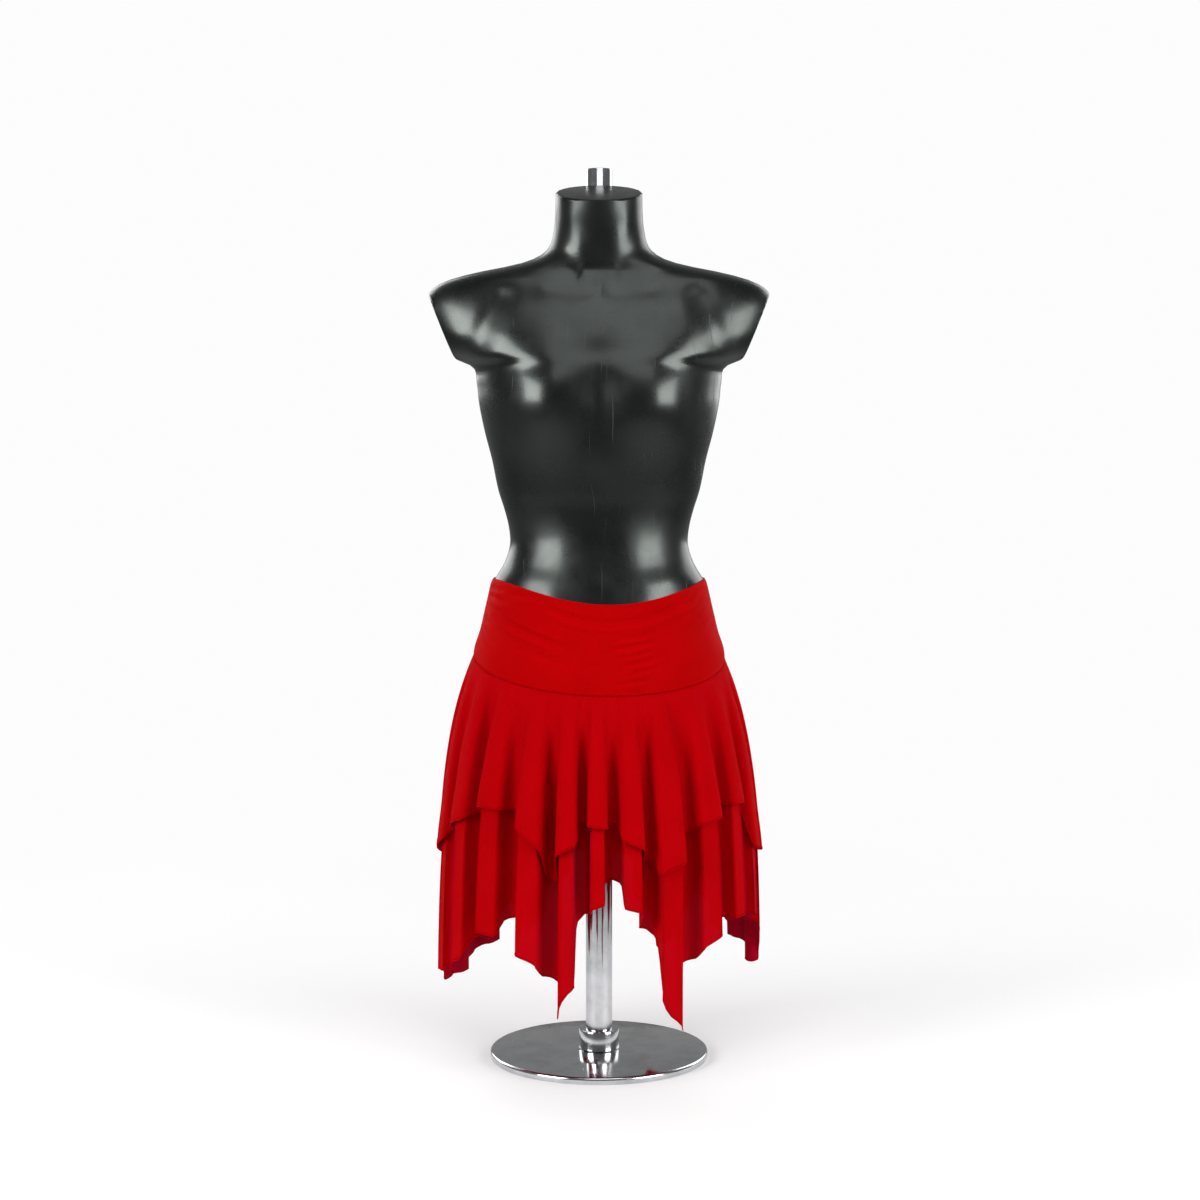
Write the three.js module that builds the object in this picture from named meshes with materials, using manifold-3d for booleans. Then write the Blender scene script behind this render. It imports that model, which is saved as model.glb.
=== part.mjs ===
// A two-tier dance skirt with a handkerchief hem, worn by a limbless torso dress form on a counter stand.
// Millimetres, +Z up, the wearer's front towards -Y. The origin is on the floor, below the torso's middle.
import * as THREE from "three";
import { mergeVertices } from "three/addons/utils/BufferGeometryUtils.js";
import Module from "manifold-3d";

// Heights above the floor
const UNDERSIDE_HEIGHT = 292;
const SIDE_SEAM_FOOT = 521;
const WAIST_SIDE_HEIGHT = 618;
const NECK_TOP_HEIGHT = 1092;
const POLE_TOP_HEIGHT = 1128;

// Yoke: how far its two edges dip at the front and rise at the back, and the turn of the dip round the hips
const WAIST_DIP = 27;
const WAIST_RISE = 14;
const WAIST_SCOOP = 2.7;
const SEAM_DIP = 41;
const SEAM_RISE = 14;
const DIP_TURN = 6;
const DIP_BLEND = 0.35;

// Cloth
const YOKE_THICKNESS = 1.6;
const TIER_THICKNESS = 1.2;
const SEAM_GAP = 0.3;
const LAYER_GAP = 3;
const LAYER_GAP_LENGTH = 30;
const BODY_CLEARANCE = 0.9;

// Flare of the tiers: how far the ridges stand out from the hips at the hem, and how soon they get there
const FLARE = 51;
const FLARE_LENGTH = 110;
// How soon below the yoke seam the folds reach their depth
const FOLD_LENGTH = 52;
const FOLD_ONSET = 1.3;
// How steep the flanks of a fold are, and how much wider its ridge is than its valley
const FOLD_SQUARENESS = 0.75;
const RIDGE_WIDENING = 0.52;

// Shares of a fold, from one ridge to the next: the edge of its ridge, and the foot of its flank
const RIDGE_EDGE = 0.2;
const FLANK_FOOT = 0.34;
const RIDGE_FLAT = 0.12;
const FLANK_WIDTH = 0.3;
// How much of the way to the valley's length the hem has gone at the flank's foot
const FLANK_DROP = 0.8;
// Each fold is cut into columns that gather at its flanks.
const FOLD_COLUMNS = [0, RIDGE_EDGE, FLANK_FOOT, 0.5, 1 - FLANK_FOOT, 1 - RIDGE_EDGE];
const TIER_ROWS = [0, 0.07, 0.16, 0.28, 0.44, 0.68, 1];
const YOKE_ROWS = [0, 0.12, 0.26, 0.42, 0.6, 0.8, 1];

// Stand
const POLE_RADIUS = 17;
const POLE_Y = 45;
const POLE_CLEARANCE = 0.4;
const BASE_RADIUS = 140;
const BASE_THICKNESS = 9;
const BASE_CHAMFER = 2.5;
const COLLAR_RADIUS = 26;
const COLLAR_HEIGHT = 26;
const ROUND_SIDES = 28;

// Torso
const FORM_COLUMNS = 36;
const NECK_SLANT = 17;
const STUB_PLANE = { topX: 210, topZ: 966, footX: 178, footZ: 889, reach: 16 };
const BUST = { x: 72, z: 836, rise: 20, spreadX: 62, spreadZ: 58 };
const NECK_CUTTER = 200;

const degrees = THREE.MathUtils.degToRad;

// Turns rows of numbers into records with named columns.
function table(columns, rows) {
  return rows.map((row) => Object.fromEntries(columns.map((name, i) => [name, row[i]])));
}

// The torso's level sections, from its underside to its neck. The ring's widest line lies at y = lean.
const SECTIONS = table(
  ["height", "halfWidth", "front", "back", "lean"],
  [
    [UNDERSIDE_HEIGHT, 137, 86, 92, 0],
    [340, 147, 92, 101, 0],
    [400, 152, 97, 109, 0],
    [460, 154, 101, 112, 0],
    [500, 154, 102.5, 111, 0],
    [527, 153, 101.5, 109, 0],
    [552, 146, 99, 105, 0],
    [577, 140.3, 96, 100, 0],
    [602, 134.5, 92, 95, 0],
    [615, 130.8, 89.5, 91, 0],
    [637, 118, 84, 84, 0],
    [660, 111, 80, 79, 0],
    [682, 112.5, 79, 77, 0],
    [704, 118, 81, 78, 0],
    [728, 125.5, 86, 81, 0],
    [765, 133, 93, 86, 0],
    [800, 142, 97, 90, 0],
    [835, 149, 99, 94, 0],
    [862, 152, 98, 96, 0],
    [880, 157, 96, 98, 0],
    [893, 186, 93, 98, 0],
    [915, 207, 88, 97, 0],
    [940, 216, 80, 93, 0],
    [961, 216, 72, 86, 0],
    [977, 205, 66, 79, 0],
    [988, 182, 62, 72, 0],
    [997, 146, 59, 66, 0],
    [1005, 104, 57, 61, -2],
    [1014, 77, 55, 57, -4],
    [1026, 62, 53, 53, -8],
    [1045, 56, 51, 49, -13],
    [1070, 53.5, 50, 48, -19],
    [NECK_TOP_HEIGHT + 30, 53, 50, 48, -25],
  ],
);

// The folds of the two tiers, from the left side seam across the front and round the back.
// angle: of the ridge, in degrees from the front centre towards the wearer's left.
// depth: of the valley after the ridge.
// The rest are the tiers' lengths below the yoke seam, at the ridge's two edges and in the valley.
const FOLDS = table(
  ["angle", "depth", "upperLeft", "upperRight", "upperValley", "lowerLeft", "lowerRight", "lowerValley"],
  [
    [-90, 15, 232, 244, 246, 389, 388, 386],
    [-77, 13, 240, 214, 204, 390, 380, 374],
    [-62, 25, 194, 172, 166, 372, 340, 318],
    [-44.5, 27, 153, 148, 149, 308, 302, 280],
    [-26, 29, 160, 188, 228, 316, 330, 345],
    [-12.4, 27, 194, 172, 152, 390, 338, 262],
    [-0.8, 26, 151, 154, 152, 256, 242, 220],
    [11.8, 25, 166, 184, 198, 248, 262, 282],
    [26.4, 26, 214, 200, 172, 346, 408, 330],
    [45, 24, 162, 158, 150, 314, 302, 290],
    [62, 20, 150, 158, 166, 290, 296, 300],
    [76.5, 17, 216, 226, 230, 302, 312, 322],
    [90, 13, 238, 234, 200, 334, 388, 392],
    [106, 15, 156, 156, 166, 398, 382, 372],
    [123, 26, 160, 150, 148, 376, 350, 330],
    [138, 28, 150, 164, 184, 322, 336, 358],
    [152.5, 30, 208, 224, 196, 380, 418, 350],
    [170.5, 27, 168, 152, 150, 310, 280, 268],
    [188, 28, 150, 158, 176, 268, 292, 318],
    [205, 30, 204, 222, 198, 352, 402, 352],
    [221, 25, 172, 156, 150, 350, 384, 392],
    [238, 15, 150, 158, 172, 402, 420, 421],
    [254, 11, 164, 152, 190, 424, 422, 414],
  ],
);
const FRONT_FOLDS = 12;

const smoothstep = (x) => THREE.MathUtils.smoothstep(x, 0, 1);

// Reads a value from the torso's sections at a height, on a smooth curve through them.
function sectionAt(name, height) {
  const last = SECTIONS.length - 1;
  const above = SECTIONS.findIndex((section) => section.height >= height);
  const next = above < 0 ? last : Math.max(above, 1);
  const rows = [next - 2, next - 1, next, next + 1].map((i) => SECTIONS[THREE.MathUtils.clamp(i, 0, last)]);
  const [before, low, high, after] = rows;
  const slopeLow = (high[name] - before[name]) / (high.height - before.height);
  const slopeHigh = (after[name] - low[name]) / (after.height - low.height);
  const span = high.height - low.height;
  const u = THREE.MathUtils.clamp((height - low.height) / span, 0, 1);
  const blend = smoothstep(u);
  const bend = u * (1 - u) * span;
  return low[name] + (high[name] - low[name]) * blend + bend * ((1 - u) * slopeLow - u * slopeHigh);
}

// A point of the torso at an angle from the front centre, in degrees, moved out by some millimetres.
function bodyPoint(angle, height, out) {
  const turn = degrees(angle);
  const reach = sectionAt(Math.cos(turn) > 0 ? "front" : "back", height);
  const x = (sectionAt("halfWidth", height) + out) * Math.sin(turn);
  const y = sectionAt("lean", height) - (reach + out) * Math.cos(turn);
  return new THREE.Vector3(x, y, height);
}

// The height of a yoke edge that dips at the front and rises at the back.
function edgeHeight(angle, sideHeight, dip, rise, scoop = 1) {
  const facing = Math.cos(degrees(angle - DIP_TURN));
  const frontness = smoothstep((facing / DIP_BLEND + 1) / 2);
  return sideHeight - THREE.MathUtils.lerp(rise, dip, frontness) * facing * Math.abs(facing) ** (scoop - 1);
}

const waistHeight = (angle) => edgeHeight(angle, WAIST_SIDE_HEIGHT, WAIST_DIP, WAIST_RISE, WAIST_SCOOP);
const seamHeight = (angle) => edgeHeight(angle, SIDE_SEAM_FOOT, SEAM_DIP, SEAM_RISE);

// How far the cloth's middle surface lies out from the torso: close at the waist, and at the yoke seam far
// enough for the lower tier, which starts behind the upper one.
const WAIST_OUT = BODY_CLEARANCE + YOKE_THICKNESS / 2;
const SEAM_OUT = WAIST_OUT + SEAM_GAP + TIER_THICKNESS;

// A fold and the share of the way to the next, at a place that counts folds from the left side seam.
function foldAt(place) {
  const count = FOLDS.length;
  const whole = Math.floor(place);
  const fold = FOLDS[((whole % count) + count) % count];
  const next = FOLDS[(((whole + 1) % count) + count) % count];
  const pitch = (next.angle - fold.angle + 360) % 360;
  return { fold, next, pitch, share: place - whole };
}

// A tier's length below the yoke seam, along the hem line of one tier.
function hemLength(tier, place) {
  const { fold, next, share } = foldAt(place);
  const { lerp } = THREE.MathUtils;
  const middle = (row) => (row[tier + "Left"] + row[tier + "Right"]) / 2;
  const right = fold[tier + "Right"];
  const valley = fold[tier + "Valley"];
  const left = next[tier + "Left"];
  const stops = [...FOLD_COLUMNS, 1];
  const flanks = [lerp(right, valley, FLANK_DROP), valley, lerp(left, valley, FLANK_DROP)];
  const lengths = [middle(fold), right, ...flanks, left, middle(next)];
  const low = Math.max(stops.findIndex((stop) => stop > share), 1) - 1;
  return lerp(lengths[low], lengths[low + 1], (share - stops[low]) / (stops[low + 1] - stops[low]));
}

// A point of the draped cloth: at a place round the skirt and a length below the yoke seam.
function drapePoint(place, length) {
  const { fold, pitch, share } = foldAt(place);
  const growth = 1 - Math.exp(-((length / FOLD_LENGTH) ** FOLD_ONSET));
  const turn = 2 * Math.PI * share;
  const squared = (FOLD_SQUARENESS * Math.sin(2 * turn)) / 2 + RIDGE_WIDENING * Math.sin(turn);
  const angle = fold.angle + pitch * (share + (growth * squared) / (2 * Math.PI));
  const boxed = smoothstep((Math.min(share, 1 - share) - RIDGE_FLAT) / FLANK_WIDTH);
  const valley = THREE.MathUtils.lerp((1 - Math.cos(turn)) / 2, boxed, growth);
  const flare = FLARE * (1 - Math.exp(-length / FLARE_LENGTH));
  const point = bodyPoint(angle, seamHeight(angle), SEAM_OUT + flare - fold.depth * valley * growth);
  point.z -= length;
  // The valleys rest against the hips, with room for the layer behind.
  const behind = SEAM_OUT + LAYER_GAP * smoothstep(length / LAYER_GAP_LENGTH);
  const hips = bodyPoint(angle, Math.max(point.z, UNDERSIDE_HEIGHT), behind);
  return hips.x ** 2 + hips.y ** 2 > point.x ** 2 + point.y ** 2 ? hips.setZ(point.z) : point;
}

// The outward normal of a surface that is given as a function of two numbers.
function normalAt(surface, u, v, stepU, stepV) {
  const across = surface(u + stepU, v).sub(surface(u - stepU, v));
  const down = surface(u, v + stepV).sub(surface(u, Math.max(v - stepV, 0)));
  return down.cross(across).normalize();
}

// A closed wall of cloth over a grid of columns and rows.
// place(column, row) gives a point of its middle surface and the normal there.
function wallGeometry(columns, rows, thickness, place) {
  const sides = [thickness / 2, -thickness / 2];
  const points = sides.map((offset) =>
    columns.map((column) => rows.map((row) => {
      const { point, normal } = place(column, row);
      return point.clone().addScaledVector(normal, offset);
    })),
  );
  const [outer, inner] = points;
  const corners = [];
  const quad = (a, b, c, d) => corners.push(a, b, c, a, c, d);
  const right = columns.length - 1;
  const foot = rows.length - 1;
  for (let i = 0; i < right; i++) {
    for (let j = 0; j < foot; j++) {
      quad(outer[i][j], outer[i][j + 1], outer[i + 1][j + 1], outer[i + 1][j]);
      quad(inner[i][j], inner[i + 1][j], inner[i + 1][j + 1], inner[i][j + 1]);
    }
    quad(outer[i][0], outer[i + 1][0], inner[i + 1][0], inner[i][0]);
    quad(outer[i][foot], inner[i][foot], inner[i + 1][foot], outer[i + 1][foot]);
  }
  for (let j = 0; j < foot; j++) {
    quad(outer[0][j], inner[0][j], inner[0][j + 1], outer[0][j + 1]);
    quad(outer[right][j], outer[right][j + 1], inner[right][j + 1], inner[right][j]);
  }
  return new THREE.BufferGeometry().setFromPoints(corners);
}

// The places of the columns of one panel between two side seams, which both lie on ridges.
function panelColumns(firstFold, foldCount) {
  const { pitch } = foldAt(firstFold);
  const margin = SEAM_GAP / sectionAt("back", SIDE_SEAM_FOOT) / degrees(pitch);
  const columns = [];
  for (let i = 0; i < foldCount; i++) FOLD_COLUMNS.forEach((share) => columns.push(firstFold + i + share));
  columns.push(firstFold + foldCount - margin);
  columns[0] += margin;
  return columns;
}

// One panel of the yoke, from the waist edge down to the yoke seam.
function yokePanel(firstFold, foldCount) {
  const surface = (place, share) => {
    const { fold, pitch, share: turn } = foldAt(place);
    const angle = fold.angle + pitch * turn;
    const height = THREE.MathUtils.lerp(waistHeight(angle), seamHeight(angle) + 2 * SEAM_GAP, share);
    const out = THREE.MathUtils.lerp(WAIST_OUT, SEAM_OUT, smoothstep(2 * share - 1));
    return bodyPoint(angle, height, out);
  };
  const columns = panelColumns(firstFold, foldCount);
  return wallGeometry(columns, YOKE_ROWS, YOKE_THICKNESS, (place, share) => ({
    point: surface(place, share),
    normal: normalAt(surface, place, share, 0.05, 0.02),
  }));
}

// How far a tier's middle surface lies behind the drape, at a length below the yoke seam.
const layerOffsets = {
  upper: () => 0,
  lower: (length) =>
    TIER_THICKNESS + THREE.MathUtils.lerp(SEAM_GAP, LAYER_GAP, smoothstep(length / LAYER_GAP_LENGTH)),
};

// One panel of a tier, between two side seams.
function tierPanel(tier, firstFold, foldCount) {
  const columns = panelColumns(firstFold, foldCount);
  return wallGeometry(columns, TIER_ROWS, TIER_THICKNESS, (place, share) => {
    const length = share * hemLength(tier, place);
    const normal = normalAt(drapePoint, place, length, 0.02, 2);
    const point = drapePoint(place, length).addScaledVector(normal, -layerOffsets[tier](length));
    return { point, normal };
  });
}

const wasm = await Module();
wasm.setup();

// A closed geometry as a solid that can be joined and cut.
function solidOf(geometry) {
  const bare = geometry.clone();
  bare.deleteAttribute("normal");
  bare.deleteAttribute("uv");
  const merged = mergeVertices(bare, 1e-3);
  const vertProperties = merged.attributes.position.array;
  const triVerts = new Uint32Array(merged.index.array);
  return new wasm.Manifold(new wasm.Mesh({ numProp: 3, vertProperties, triVerts }));
}

// A solid back as a geometry.
function geometryOf(solid) {
  const mesh = solid.getMesh();
  const geometry = new THREE.BufferGeometry();
  geometry.setAttribute("position", new THREE.BufferAttribute(mesh.vertProperties, 3));
  geometry.setIndex(new THREE.BufferAttribute(mesh.triVerts, 1));
  return geometry;
}

// An upright cylinder between two heights, on the pole's axis.
function uprightCylinder(radius, low, high) {
  const cylinder = new THREE.CylinderGeometry(radius, radius, high - low, ROUND_SIDES);
  return cylinder.rotateX(Math.PI / 2).translate(0, POLE_Y, (low + high) / 2);
}

// How far the bust pushes a front point of the torso forward.
function bustRise(point) {
  const side = Math.exp(-(((Math.abs(point.x) - BUST.x) / BUST.spreadX) ** 2));
  return BUST.rise * side * Math.exp(-(((point.z - BUST.z) / BUST.spreadZ) ** 2));
}

// The torso's skin: level rings through its sections, closed at the underside and at the neck.
function torsoGeometry() {
  const ringPoints = SECTIONS.map(({ height }) =>
    Array.from({ length: FORM_COLUMNS }, (_, i) => {
      const angle = -90 + (360 * i) / FORM_COLUMNS;
      const point = bodyPoint(angle, height, 0);
      if (Math.cos(degrees(angle)) > 0) point.y -= bustRise(point) * Math.cos(degrees(angle));
      return point;
    }),
  );
  const corners = [];
  const top = ringPoints.length - 1;
  for (let j = 0; j < top; j++) {
    for (let i = 0; i < FORM_COLUMNS; i++) {
      const k = (i + 1) % FORM_COLUMNS;
      const [a, b, c, d] = [ringPoints[j][i], ringPoints[j][k], ringPoints[j + 1][k], ringPoints[j + 1][i]];
      corners.push(a, b, c, a, c, d);
    }
  }
  const foot = new THREE.Vector3(0, 0, SECTIONS[0].height);
  const head = new THREE.Vector3(0, SECTIONS[top].lean, SECTIONS[top].height);
  for (let i = 0; i < FORM_COLUMNS; i++) {
    const k = (i + 1) % FORM_COLUMNS;
    corners.push(foot, ringPoints[0][k], ringPoints[0][i]);
    corners.push(head, ringPoints[top][i], ringPoints[top][k]);
  }
  return new THREE.BufferGeometry().setFromPoints(corners);
}

// A block that takes off all that lies above a level plane, once it is turned and moved to a point.
function cuttingBlock(size, turnX, turnY, through) {
  const block = new THREE.BoxGeometry(size, size, size).translate(0, 0, size / 2);
  return solidOf(block.rotateX(turnX).rotateY(turnY).translate(through.x, through.y, through.z));
}

// The torso with its neck cut on a slant, its arm stubs cut flat, and a bore for the pole.
function dressFormGeometry() {
  const neckTop = new THREE.Vector3(0, sectionAt("lean", NECK_TOP_HEIGHT), NECK_TOP_HEIGHT);
  const along = new THREE.Vector2(STUB_PLANE.topX - STUB_PLANE.footX, STUB_PLANE.topZ - STUB_PLANE.footZ);
  const size = 2 * (along.length() + STUB_PLANE.reach);
  const stubTurn = Math.PI / 2 + Math.atan2(along.x, along.y);
  let solid = solidOf(torsoGeometry()).subtract(cuttingBlock(NECK_CUTTER, degrees(NECK_SLANT), 0, neckTop));
  for (const side of [1, -1]) {
    const through = new THREE.Vector3(side * STUB_PLANE.topX, 0, STUB_PLANE.topZ);
    solid = solid.subtract(cuttingBlock(size, 0, side * stubTurn, through));
  }
  const bore = uprightCylinder(POLE_RADIUS + POLE_CLEARANCE, 0, POLE_TOP_HEIGHT + 1);
  return geometryOf(solid.subtract(solidOf(bore)));
}

// A plain ring round the pole.
function collarGeometry(low) {
  const bore = solidOf(uprightCylinder(POLE_RADIUS + POLE_CLEARANCE, low - 1, low + COLLAR_HEIGHT + 1));
  return geometryOf(solidOf(uprightCylinder(COLLAR_RADIUS, low, low + COLLAR_HEIGHT)).subtract(bore));
}

// The flat round base, with a chamfered upper edge.
function baseGeometry() {
  const profile = [
    [0, 0],
    [BASE_RADIUS, 0],
    [BASE_RADIUS, BASE_THICKNESS - BASE_CHAMFER],
    [BASE_RADIUS - BASE_CHAMFER, BASE_THICKNESS],
    [0, BASE_THICKNESS],
  ].map(([x, y]) => new THREE.Vector2(x, y));
  return new THREE.LatheGeometry(profile, 2 * ROUND_SIDES).rotateX(Math.PI / 2).translate(0, POLE_Y, 0);
}

const redJersey = new THREE.MeshStandardMaterial({ color: 0xb50008, roughness: 0.85, metalness: 0 });
const redMesh = new THREE.MeshStandardMaterial({ color: 0xbc0210, roughness: 0.9, metalness: 0 });
const blackPlastic = new THREE.MeshStandardMaterial({ color: 0x0b0c0e, roughness: 0.28, metalness: 0 });
const chromedSteel = new THREE.MeshStandardMaterial({ color: 0xc9ccd0, roughness: 0.12, metalness: 1 });

const model = new THREE.Group();

// Adds one named sub-part.
function add(name, geometry, material) {
  const mesh = new THREE.Mesh(geometry, material);
  mesh.name = name;
  model.add(mesh);
}

const backFolds = FOLDS.length - FRONT_FOLDS;
add("yoke_front", yokePanel(0, FRONT_FOLDS), redJersey);
add("yoke_back", yokePanel(FRONT_FOLDS, backFolds), redJersey);
for (const tier of ["upper", "lower"]) {
  add(tier + "_tier_front", tierPanel(tier, 0, FRONT_FOLDS), redMesh);
  add(tier + "_tier_back", tierPanel(tier, FRONT_FOLDS, backFolds), redMesh);
}
add("dress_form", dressFormGeometry(), blackPlastic);
add("stand_pole", uprightCylinder(POLE_RADIUS, BASE_THICKNESS + SEAM_GAP, POLE_TOP_HEIGHT), chromedSteel);
add("base_collar", collarGeometry(BASE_THICKNESS + SEAM_GAP), chromedSteel);
add("form_collar", collarGeometry(UNDERSIDE_HEIGHT - SEAM_GAP - COLLAR_HEIGHT), chromedSteel);
add("stand_base", baseGeometry(), chromedSteel);

export default model;
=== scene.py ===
"""A red two-tier dance skirt with a handkerchief hem, worn by a limbless dress form on a round stand.

The wearer's front is towards -Y and +Z is up. Sizes of the garment, the form and the stand are written
in millimetres, as a maker would, and become metres where a mesh is made.
"""

import logging
import math
from dataclasses import dataclass, field
from enum import Enum
from typing import Callable, Sequence

import bmesh
import bpy
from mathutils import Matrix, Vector, noise


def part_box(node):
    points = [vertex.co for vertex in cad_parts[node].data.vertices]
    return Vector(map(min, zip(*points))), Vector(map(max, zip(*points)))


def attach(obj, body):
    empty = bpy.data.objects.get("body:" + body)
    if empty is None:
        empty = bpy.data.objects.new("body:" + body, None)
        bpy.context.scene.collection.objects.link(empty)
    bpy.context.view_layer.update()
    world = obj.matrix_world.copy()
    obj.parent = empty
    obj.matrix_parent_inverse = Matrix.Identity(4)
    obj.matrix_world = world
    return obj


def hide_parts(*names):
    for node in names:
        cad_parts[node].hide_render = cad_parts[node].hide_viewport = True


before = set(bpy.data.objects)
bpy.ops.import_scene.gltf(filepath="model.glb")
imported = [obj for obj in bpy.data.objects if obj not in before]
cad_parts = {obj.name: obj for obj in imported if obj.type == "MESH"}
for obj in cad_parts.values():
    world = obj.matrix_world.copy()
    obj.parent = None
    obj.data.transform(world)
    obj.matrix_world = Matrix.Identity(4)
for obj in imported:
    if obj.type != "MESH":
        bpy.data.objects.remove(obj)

log = logging.getLogger("dance_skirt")
MM = 0.001

Point = Vector
Grid = list[list[Vector]]
Node = bpy.types.Node
Socket = bpy.types.NodeSocket
Inputs = dict[str | int, object]


def lerp(low: float, high: float, share: float) -> float:
    """Returns the value at a share of the way from low to high."""
    return low + (high - low) * share


def smoothstep(value: float) -> float:
    """Returns a smooth ramp from 0 to 1 while value goes from 0 to 1."""
    share = min(max(value, 0.0), 1.0)
    return share * share * (3.0 - 2.0 * share)


@dataclass(frozen=True)
class Section:
    """A level ring of the torso in millimetres. Its widest line lies at y = lean."""

    height: float
    half_width: float
    front: float
    back: float
    lean: float = 0.0


@dataclass(frozen=True)
class Bust:
    """The soft rise of a general figure's chest, in millimetres."""

    x: float = 72.0
    z: float = 836.0
    rise: float = 20.0
    spread_x: float = 62.0
    spread_z: float = 58.0

    def rise_at(self, point: Point) -> float:
        """Returns how far the chest stands forward at a point of the torso."""
        side = math.exp(-(((abs(point.x) - self.x) / self.spread_x) ** 2))
        return self.rise * side * math.exp(-(((point.z - self.z) / self.spread_z) ** 2))


@dataclass(frozen=True)
class Ridge:
    """A soft ridge on both halves of the torso's front, or a hollow where its rise is below zero.

    It runs between two places, given as x and z in millimetres from the middle line and the floor.
    """

    start: tuple[float, float]
    end: tuple[float, float]
    rise: float
    width: float

    def rise_at(self, point: Point) -> float:
        """Returns how far the ridge stands forward at a point of the torso."""
        run, climb = self.end[0] - self.start[0], self.end[1] - self.start[1]
        along, up = abs(point.x) - self.start[0], point.z - self.start[1]
        share = min(max((along * run + up * climb) / (run * run + climb * climb), 0.0), 1.0)
        away = math.hypot(along - share * run, up - share * climb)
        return self.rise * math.exp(-((away / self.width) ** 2))


ANATOMY: tuple[Ridge, ...] = (
    Ridge((17, 965), (66, 973), 1.3, 10.0),
    Ridge((66, 973), (142, 984), 1.1, 14.0),
    Ridge((34, 988), (112, 1001), -1.2, 13.0),
    Ridge((13, 966), (17, 1000), 1.5, 4.2),
    Ridge((20, 1010), (36, 1058), 0.6, 9.0),
    Ridge((31, 986), (33, 1006), -0.8, 9.0),
    Ridge((0, 962), (0, 972), -1.8, 9.0),
    Ridge((0, 990), (0, 1040), -0.4, 10.0),
    Ridge((154, 890), (122, 962), -3.2, 15.0),
    Ridge((132, 872), (104, 938), 1.0, 20.0),
    Ridge((0, 800), (0, 890), -1.4, 30.0),
    Ridge((0, 680), (0, 750), -0.9, 13.0),
    Ridge((96, 628), (60, 596), 1.2, 20.0),
)

NECK_TOP = 1092.0
UNDERSIDE = 292.0

SECTIONS: tuple[Section, ...] = (
    Section(UNDERSIDE, 137, 86, 92),
    Section(340, 147, 92, 101),
    Section(400, 152, 97, 109),
    Section(460, 154, 101, 112),
    Section(500, 154, 102.5, 111),
    Section(527, 153, 101.5, 109),
    Section(552, 146, 99, 105),
    Section(577, 140.3, 96, 100),
    Section(602, 134.5, 92, 95),
    Section(615, 130.8, 89.5, 91),
    Section(637, 118, 84, 84),
    Section(660, 111, 80, 79),
    Section(682, 112.5, 79, 77),
    Section(704, 118, 81, 78),
    Section(728, 125.5, 86, 81),
    Section(765, 133, 93, 86),
    Section(800, 142, 97, 90),
    Section(835, 149, 99, 94),
    Section(862, 152, 98, 96),
    Section(880, 157, 96, 98),
    Section(893, 186, 93, 98),
    Section(915, 207, 88, 97),
    Section(940, 216, 80, 93),
    Section(961, 216, 72, 86),
    Section(977, 205, 66, 79),
    Section(988, 182, 62, 72),
    Section(997, 146, 59, 66),
    Section(1005, 104, 57, 61, -2),
    Section(1014, 77, 55, 57, -4),
    Section(1026, 62, 53, 53, -8),
    Section(1045, 56, 51, 49, -13),
    Section(1070, 53.5, 50, 48, -19),
    Section(NECK_TOP + 30, 53, 50, 48, -25),
)


@dataclass(frozen=True)
class TorsoShape:
    """The torso's surface, worked out from its sections."""

    sections: tuple[Section, ...] = SECTIONS
    bust: Bust = Bust()
    anatomy: tuple[Ridge, ...] = ANATOMY

    def at(self, height: float) -> Section:
        """Returns the ring at a height, on smooth curves through the sections.

        Args:
            height: The height above the floor in millimetres.

        Returns:
            The ring at that height.
        """
        rows = self.sections
        last = len(rows) - 1
        above = next((i for i, row in enumerate(rows) if row.height >= height), last)
        upper = max(above, 1)
        before, low, high, after = (rows[min(max(i, 0), last)] for i in range(upper - 2, upper + 2))
        span = high.height - low.height
        share = min(max((height - low.height) / span, 0.0), 1.0)

        def value(name: str) -> float:
            """Returns one size of the ring, by the name of its field."""
            a, b, c, d = (getattr(row, name) for row in (before, low, high, after))
            slope_low = (c - a) / (high.height - before.height)
            slope_high = (d - b) / (after.height - low.height)
            bend = share * (1.0 - share) * span
            return b + (c - b) * smoothstep(share) + bend * ((1.0 - share) * slope_low - share * slope_high)

        return Section(height, value("half_width"), value("front"), value("back"), value("lean"))

    def point(self, angle: float, height: float, out: float = 0.0, chest: bool = False) -> Point:
        """Returns a point of the torso's surface in millimetres.

        Args:
            angle: Degrees from the front centre towards the wearer's left.
            height: The height above the floor.
            out: How far the point is moved out of the surface.
            chest: Whether the chest, the collarbones and the other relief of the front are added.

        Returns:
            The point in millimetres.
        """
        ring = self.at(height)
        turn = math.radians(angle)
        reach = (ring.front if math.cos(turn) > 0.0 else ring.back) + out
        x = (ring.half_width + out) * math.sin(turn)
        point = Vector((x, ring.lean - reach * math.cos(turn), height))
        if chest:
            relief = self.bust.rise_at(point) + sum(ridge.rise_at(point) for ridge in self.anatomy)
            point.y -= relief * smoothstep(1.6 * math.cos(turn))
        return point


@dataclass(frozen=True)
class Hem:
    """A tier's lengths below the yoke seam over one fold, in millimetres, from left to right."""

    left: float
    middle: float
    right: float
    valley: float


@dataclass(frozen=True)
class Fold:
    """One ridge of the tiers, at an angle in degrees, and the valley after it, so many millimetres deep.

    A fold's lean is how many degrees its ridge drifts on its way down to the lower hem.
    """

    angle: float
    depth: float
    upper: Hem
    lower: Hem
    lean: float = 0.0


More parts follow.
